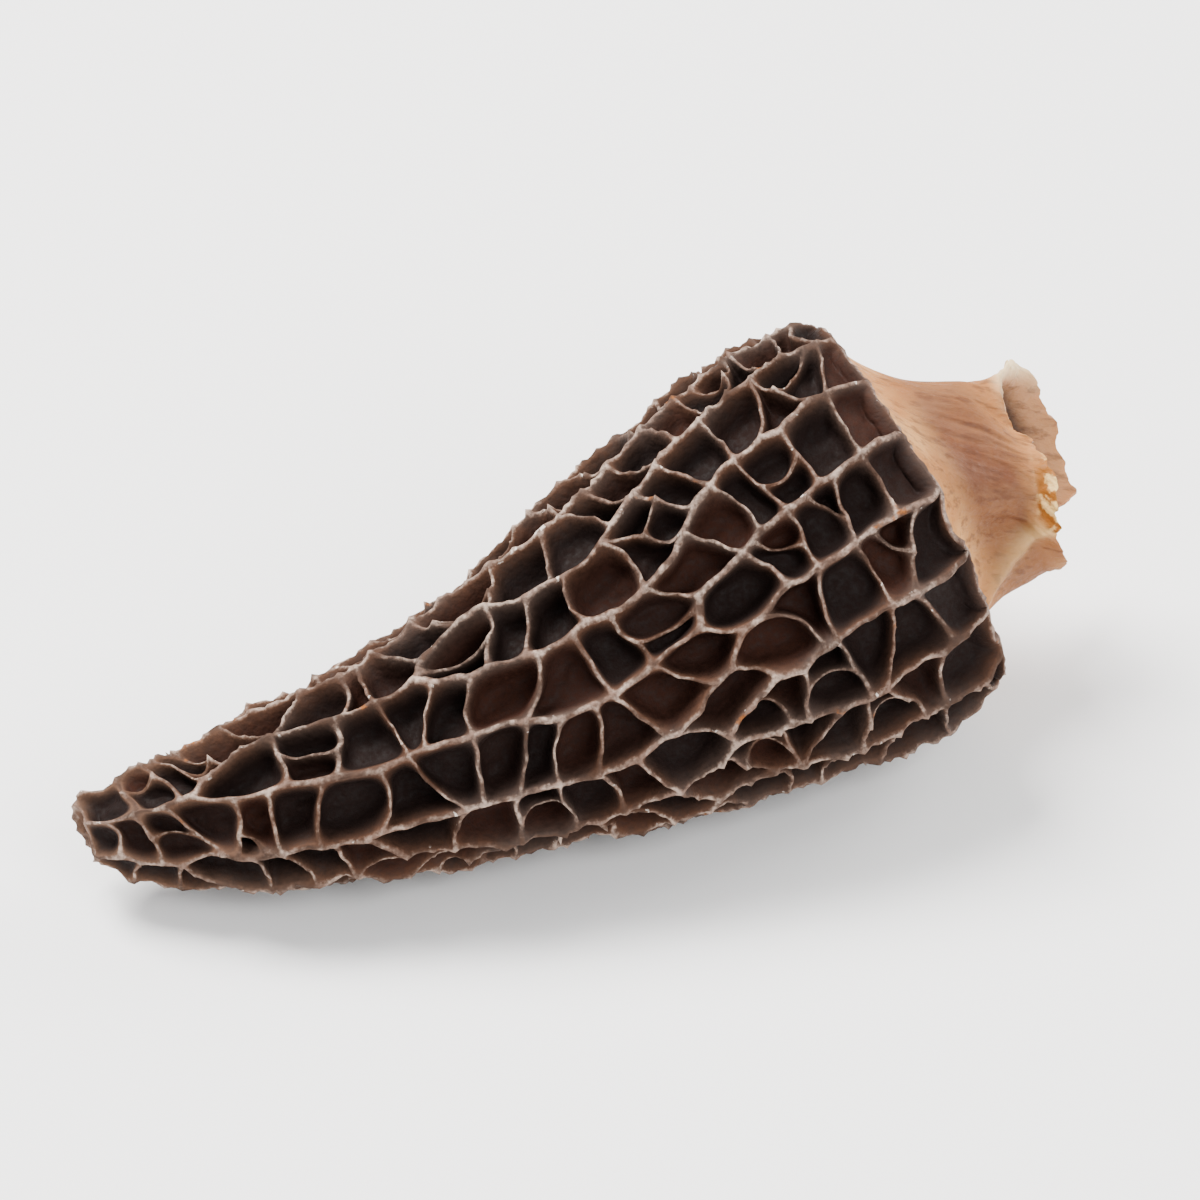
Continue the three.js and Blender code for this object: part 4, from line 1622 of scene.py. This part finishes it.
    def close_base(self) -> None:
        """Closes the base round the stem's root, and lines the hollow."""
        ids, places = self.edge_loop(at_tip=False)
        outer = np.vstack(self.surface.points)[ids]
        angle = places[:, 0] / self.form.rib_pull
        before, outside = self.base_meets_stem
        root = self.stem.point(-before, self.stem.profile[0][1] + outside, angle)
        throat = self.stem.point(0.0, self.stem.throat, angle)
        ring = ids
        for start, end, share, crest in (
            (outer, root, 0.1, 0.6), (outer, root, 0.35, 0.2), (outer, root, 1.0, 0.05),
            (root, throat, 0.5, 0.0), (root, throat, 1.0, 0.0),
        ):
            inner = self.surface.add(start + (end - start) * share, crest=crest, tone=0.3)
            self.surface.ring(ring, inner)
            ring = inner
        narrow = self.stem.point(self.hollow_narrows_at - self.form.length, self.stem.throat, angle)
        lining = [narrow]
        for s in self.hollow_stations[::-1]:
            radius = float(self.form.at("s", s)["r"])
            deepest = min(self.pit_depth, self.depth_per_radius * radius)
            radius -= (1 + self.depth_spread) * deepest + self.flesh
            lining.append(self.form.point(s, radius, angle))
        for points in lining:
            inner = self.surface.add(points, crest=0.1, tone=0.9)
            self.surface.ring(ring, inner)
            ring = inner
        end = self.form.point(self.hollow_from, 0.0, 0.0)
        self.surface.fan(ring, int(self.surface.add(end, crest=0.1, tone=0.9)[0]))


def ripple(waves: Sequence[Tuple[float, float]], phases: Sequence[float], where: Array) -> Array:
    """Sine waves added up.

    Args:
        waves: each wave's height and how fast it runs.
        phases: where each wave starts.
        where: the places along them.

    Returns:
        One height for each place.
    """
    return sum(height * np.sin(where * speed + phase) for (height, speed), phase in zip(waves, phases))


def jitter(rng: np.random.Generator, count: int) -> Array:
    """Random numbers from -1 to 1 in which neighbours are alike."""
    return np.convolve(rng.uniform(-1, 1, count + 2), (0.25, 0.5, 0.25), "valid")


def blur(values: Array, times: int) -> Array:
    """Values round a closed loop, each drawn towards its neighbours some times over.

    Args:
        values: the values, in order round the loop.
        times: how many times.

    Returns:
        The new values.
    """
    for _ in range(times):
        values = 0.5 * values + 0.25 * (np.roll(values, 1, 0) + np.roll(values, -1, 0))
    return values


@dataclass(frozen=True)
class Lamp:
    """A square soft light that looks at the mushroom.

    Attributes:
        name: the light's name.
        place: where it hangs, in metres.
        size: its side, in metres.
        power: in watts.
        colour: red, green and blue.
    """

    name: str
    place: Tuple[float, float, float]
    size: float
    power: float
    colour: Tuple[float, float, float]

    def hang(self) -> None:
        """Makes the light and turns it to the origin."""
        light = bpy.data.lights.new(self.name, "AREA")
        light.energy, light.size, light.color = self.power, self.size, self.colour
        put_in_scene(self.name, light, Vector(self.place), Vector(self.place))


def put_in_scene(name: str, data: bpy.types.ID, place: Vector, away: Vector) -> bpy.types.Object:
    """Puts a light or a camera in the scene.

    Args:
        name: the object's name.
        data: the light or the camera.
        place: where it stands.
        away: the direction that it turns its back to.

    Returns:
        The object.
    """
    made = bpy.data.objects.new(name, data)
    made.location = place
    made.rotation_euler = (-away).to_track_quat("-Z", "Y").to_euler()
    bpy.context.scene.collection.objects.link(made)
    return made


@dataclass
class Studio:
    """The pale floor, the soft lights and the camera.

    The camera shows `pixels_per_mm` at the middle of the object in an image of `image_px` across.
    """

    azimuth_deg: float = -24.07
    elevation_deg: float = 37.5
    distance: float = 0.48
    pixels_per_mm: float = 15.0
    image_px: int = 1200
    sensor_mm: float = 36
    floor_colour: str = "fcfbfa"
    floor_half: float = 3.0
    sky: Tuple[float, float, float, float] = (0.97, 0.98, 1.0, 1.0)
    sky_strength: float = 0.78
    lamps: Tuple[Lamp, ...] = (
        Lamp("key", (-0.25, 0.35, 0.75), 0.45, 22.5, (1.0, 0.985, 0.97)),
        Lamp("front", (0.15, -0.65, 0.55), 0.5, 7.0, (0.98, 0.99, 1.0)),
        Lamp("right", (0.6, 0.05, 0.4), 0.35, 3.4, (1.0, 0.98, 0.95)),
    )

    def build(self) -> None:
        """Builds the floor, the lights and the camera."""
        self.lay_floor()
        for lamp in self.lamps:
            lamp.hang()
        self.light_sky()
        self.place_camera()
        LOG.info("studio: %d lamps", len(self.lamps))

    def lay_floor(self) -> None:
        """A wide plain floor under the mushroom."""
        mesh = bpy.data.meshes.new("floor")
        half = self.floor_half
        corners = [(-half, -half, 0), (half, -half, 0), (half, half, 0), (-half, half, 0)]
        mesh.from_pydata(corners, [], [(0, 1, 2, 3)])
        floor = bpy.data.objects.new("floor", mesh)
        bpy.context.scene.collection.objects.link(floor)
        s = Shader("floor_paint")
        s.set("Base Color", self.floor_colour)
        s.set("Roughness", 0.6)
        s.set("Specular IOR Level", 0.2)
        mesh.materials.append(s.material)

    def light_sky(self) -> None:
        """An even pale light from all round."""
        world = bpy.data.worlds.new("sky")
        world.use_nodes = True
        background = world.node_tree.nodes["Background"]
        background.inputs["Color"].default_value = self.sky
        background.inputs["Strength"].default_value = self.sky_strength
        bpy.context.scene.world = world

    def place_camera(self) -> None:
        """The camera, at the photograph's angle, looking at the middle of the object."""
        low, high = (Vector(v) for v in CAD_BOX)
        aim = (low + high) / 2
        azimuth, elevation = math.radians(self.azimuth_deg), math.radians(self.elevation_deg)
        level = math.cos(elevation)
        away = Vector((math.sin(azimuth) * level, -math.cos(azimuth) * level, math.sin(elevation)))
        lens = bpy.data.cameras.new("camera")
        lens.sensor_width = self.sensor_mm
        lens.lens = self.sensor_mm * self.pixels_per_mm * self.distance / MM / self.image_px
        lens.clip_start = 0.01
        bpy.context.scene.camera = put_in_scene("camera", lens, aim + away * self.distance, away)


def main() -> None:
    """Builds the cap, the stem and the studio, in that order."""
    logging.basicConfig(level=logging.INFO, format="%(name)s: %(message)s")
    form = CapForm()
    stem = Stem(form)
    _, shift = Cap(form, Net(form), stem).build()
    stem.build(shift)
    Studio().build()


if __name__ == "__main__":
    main()
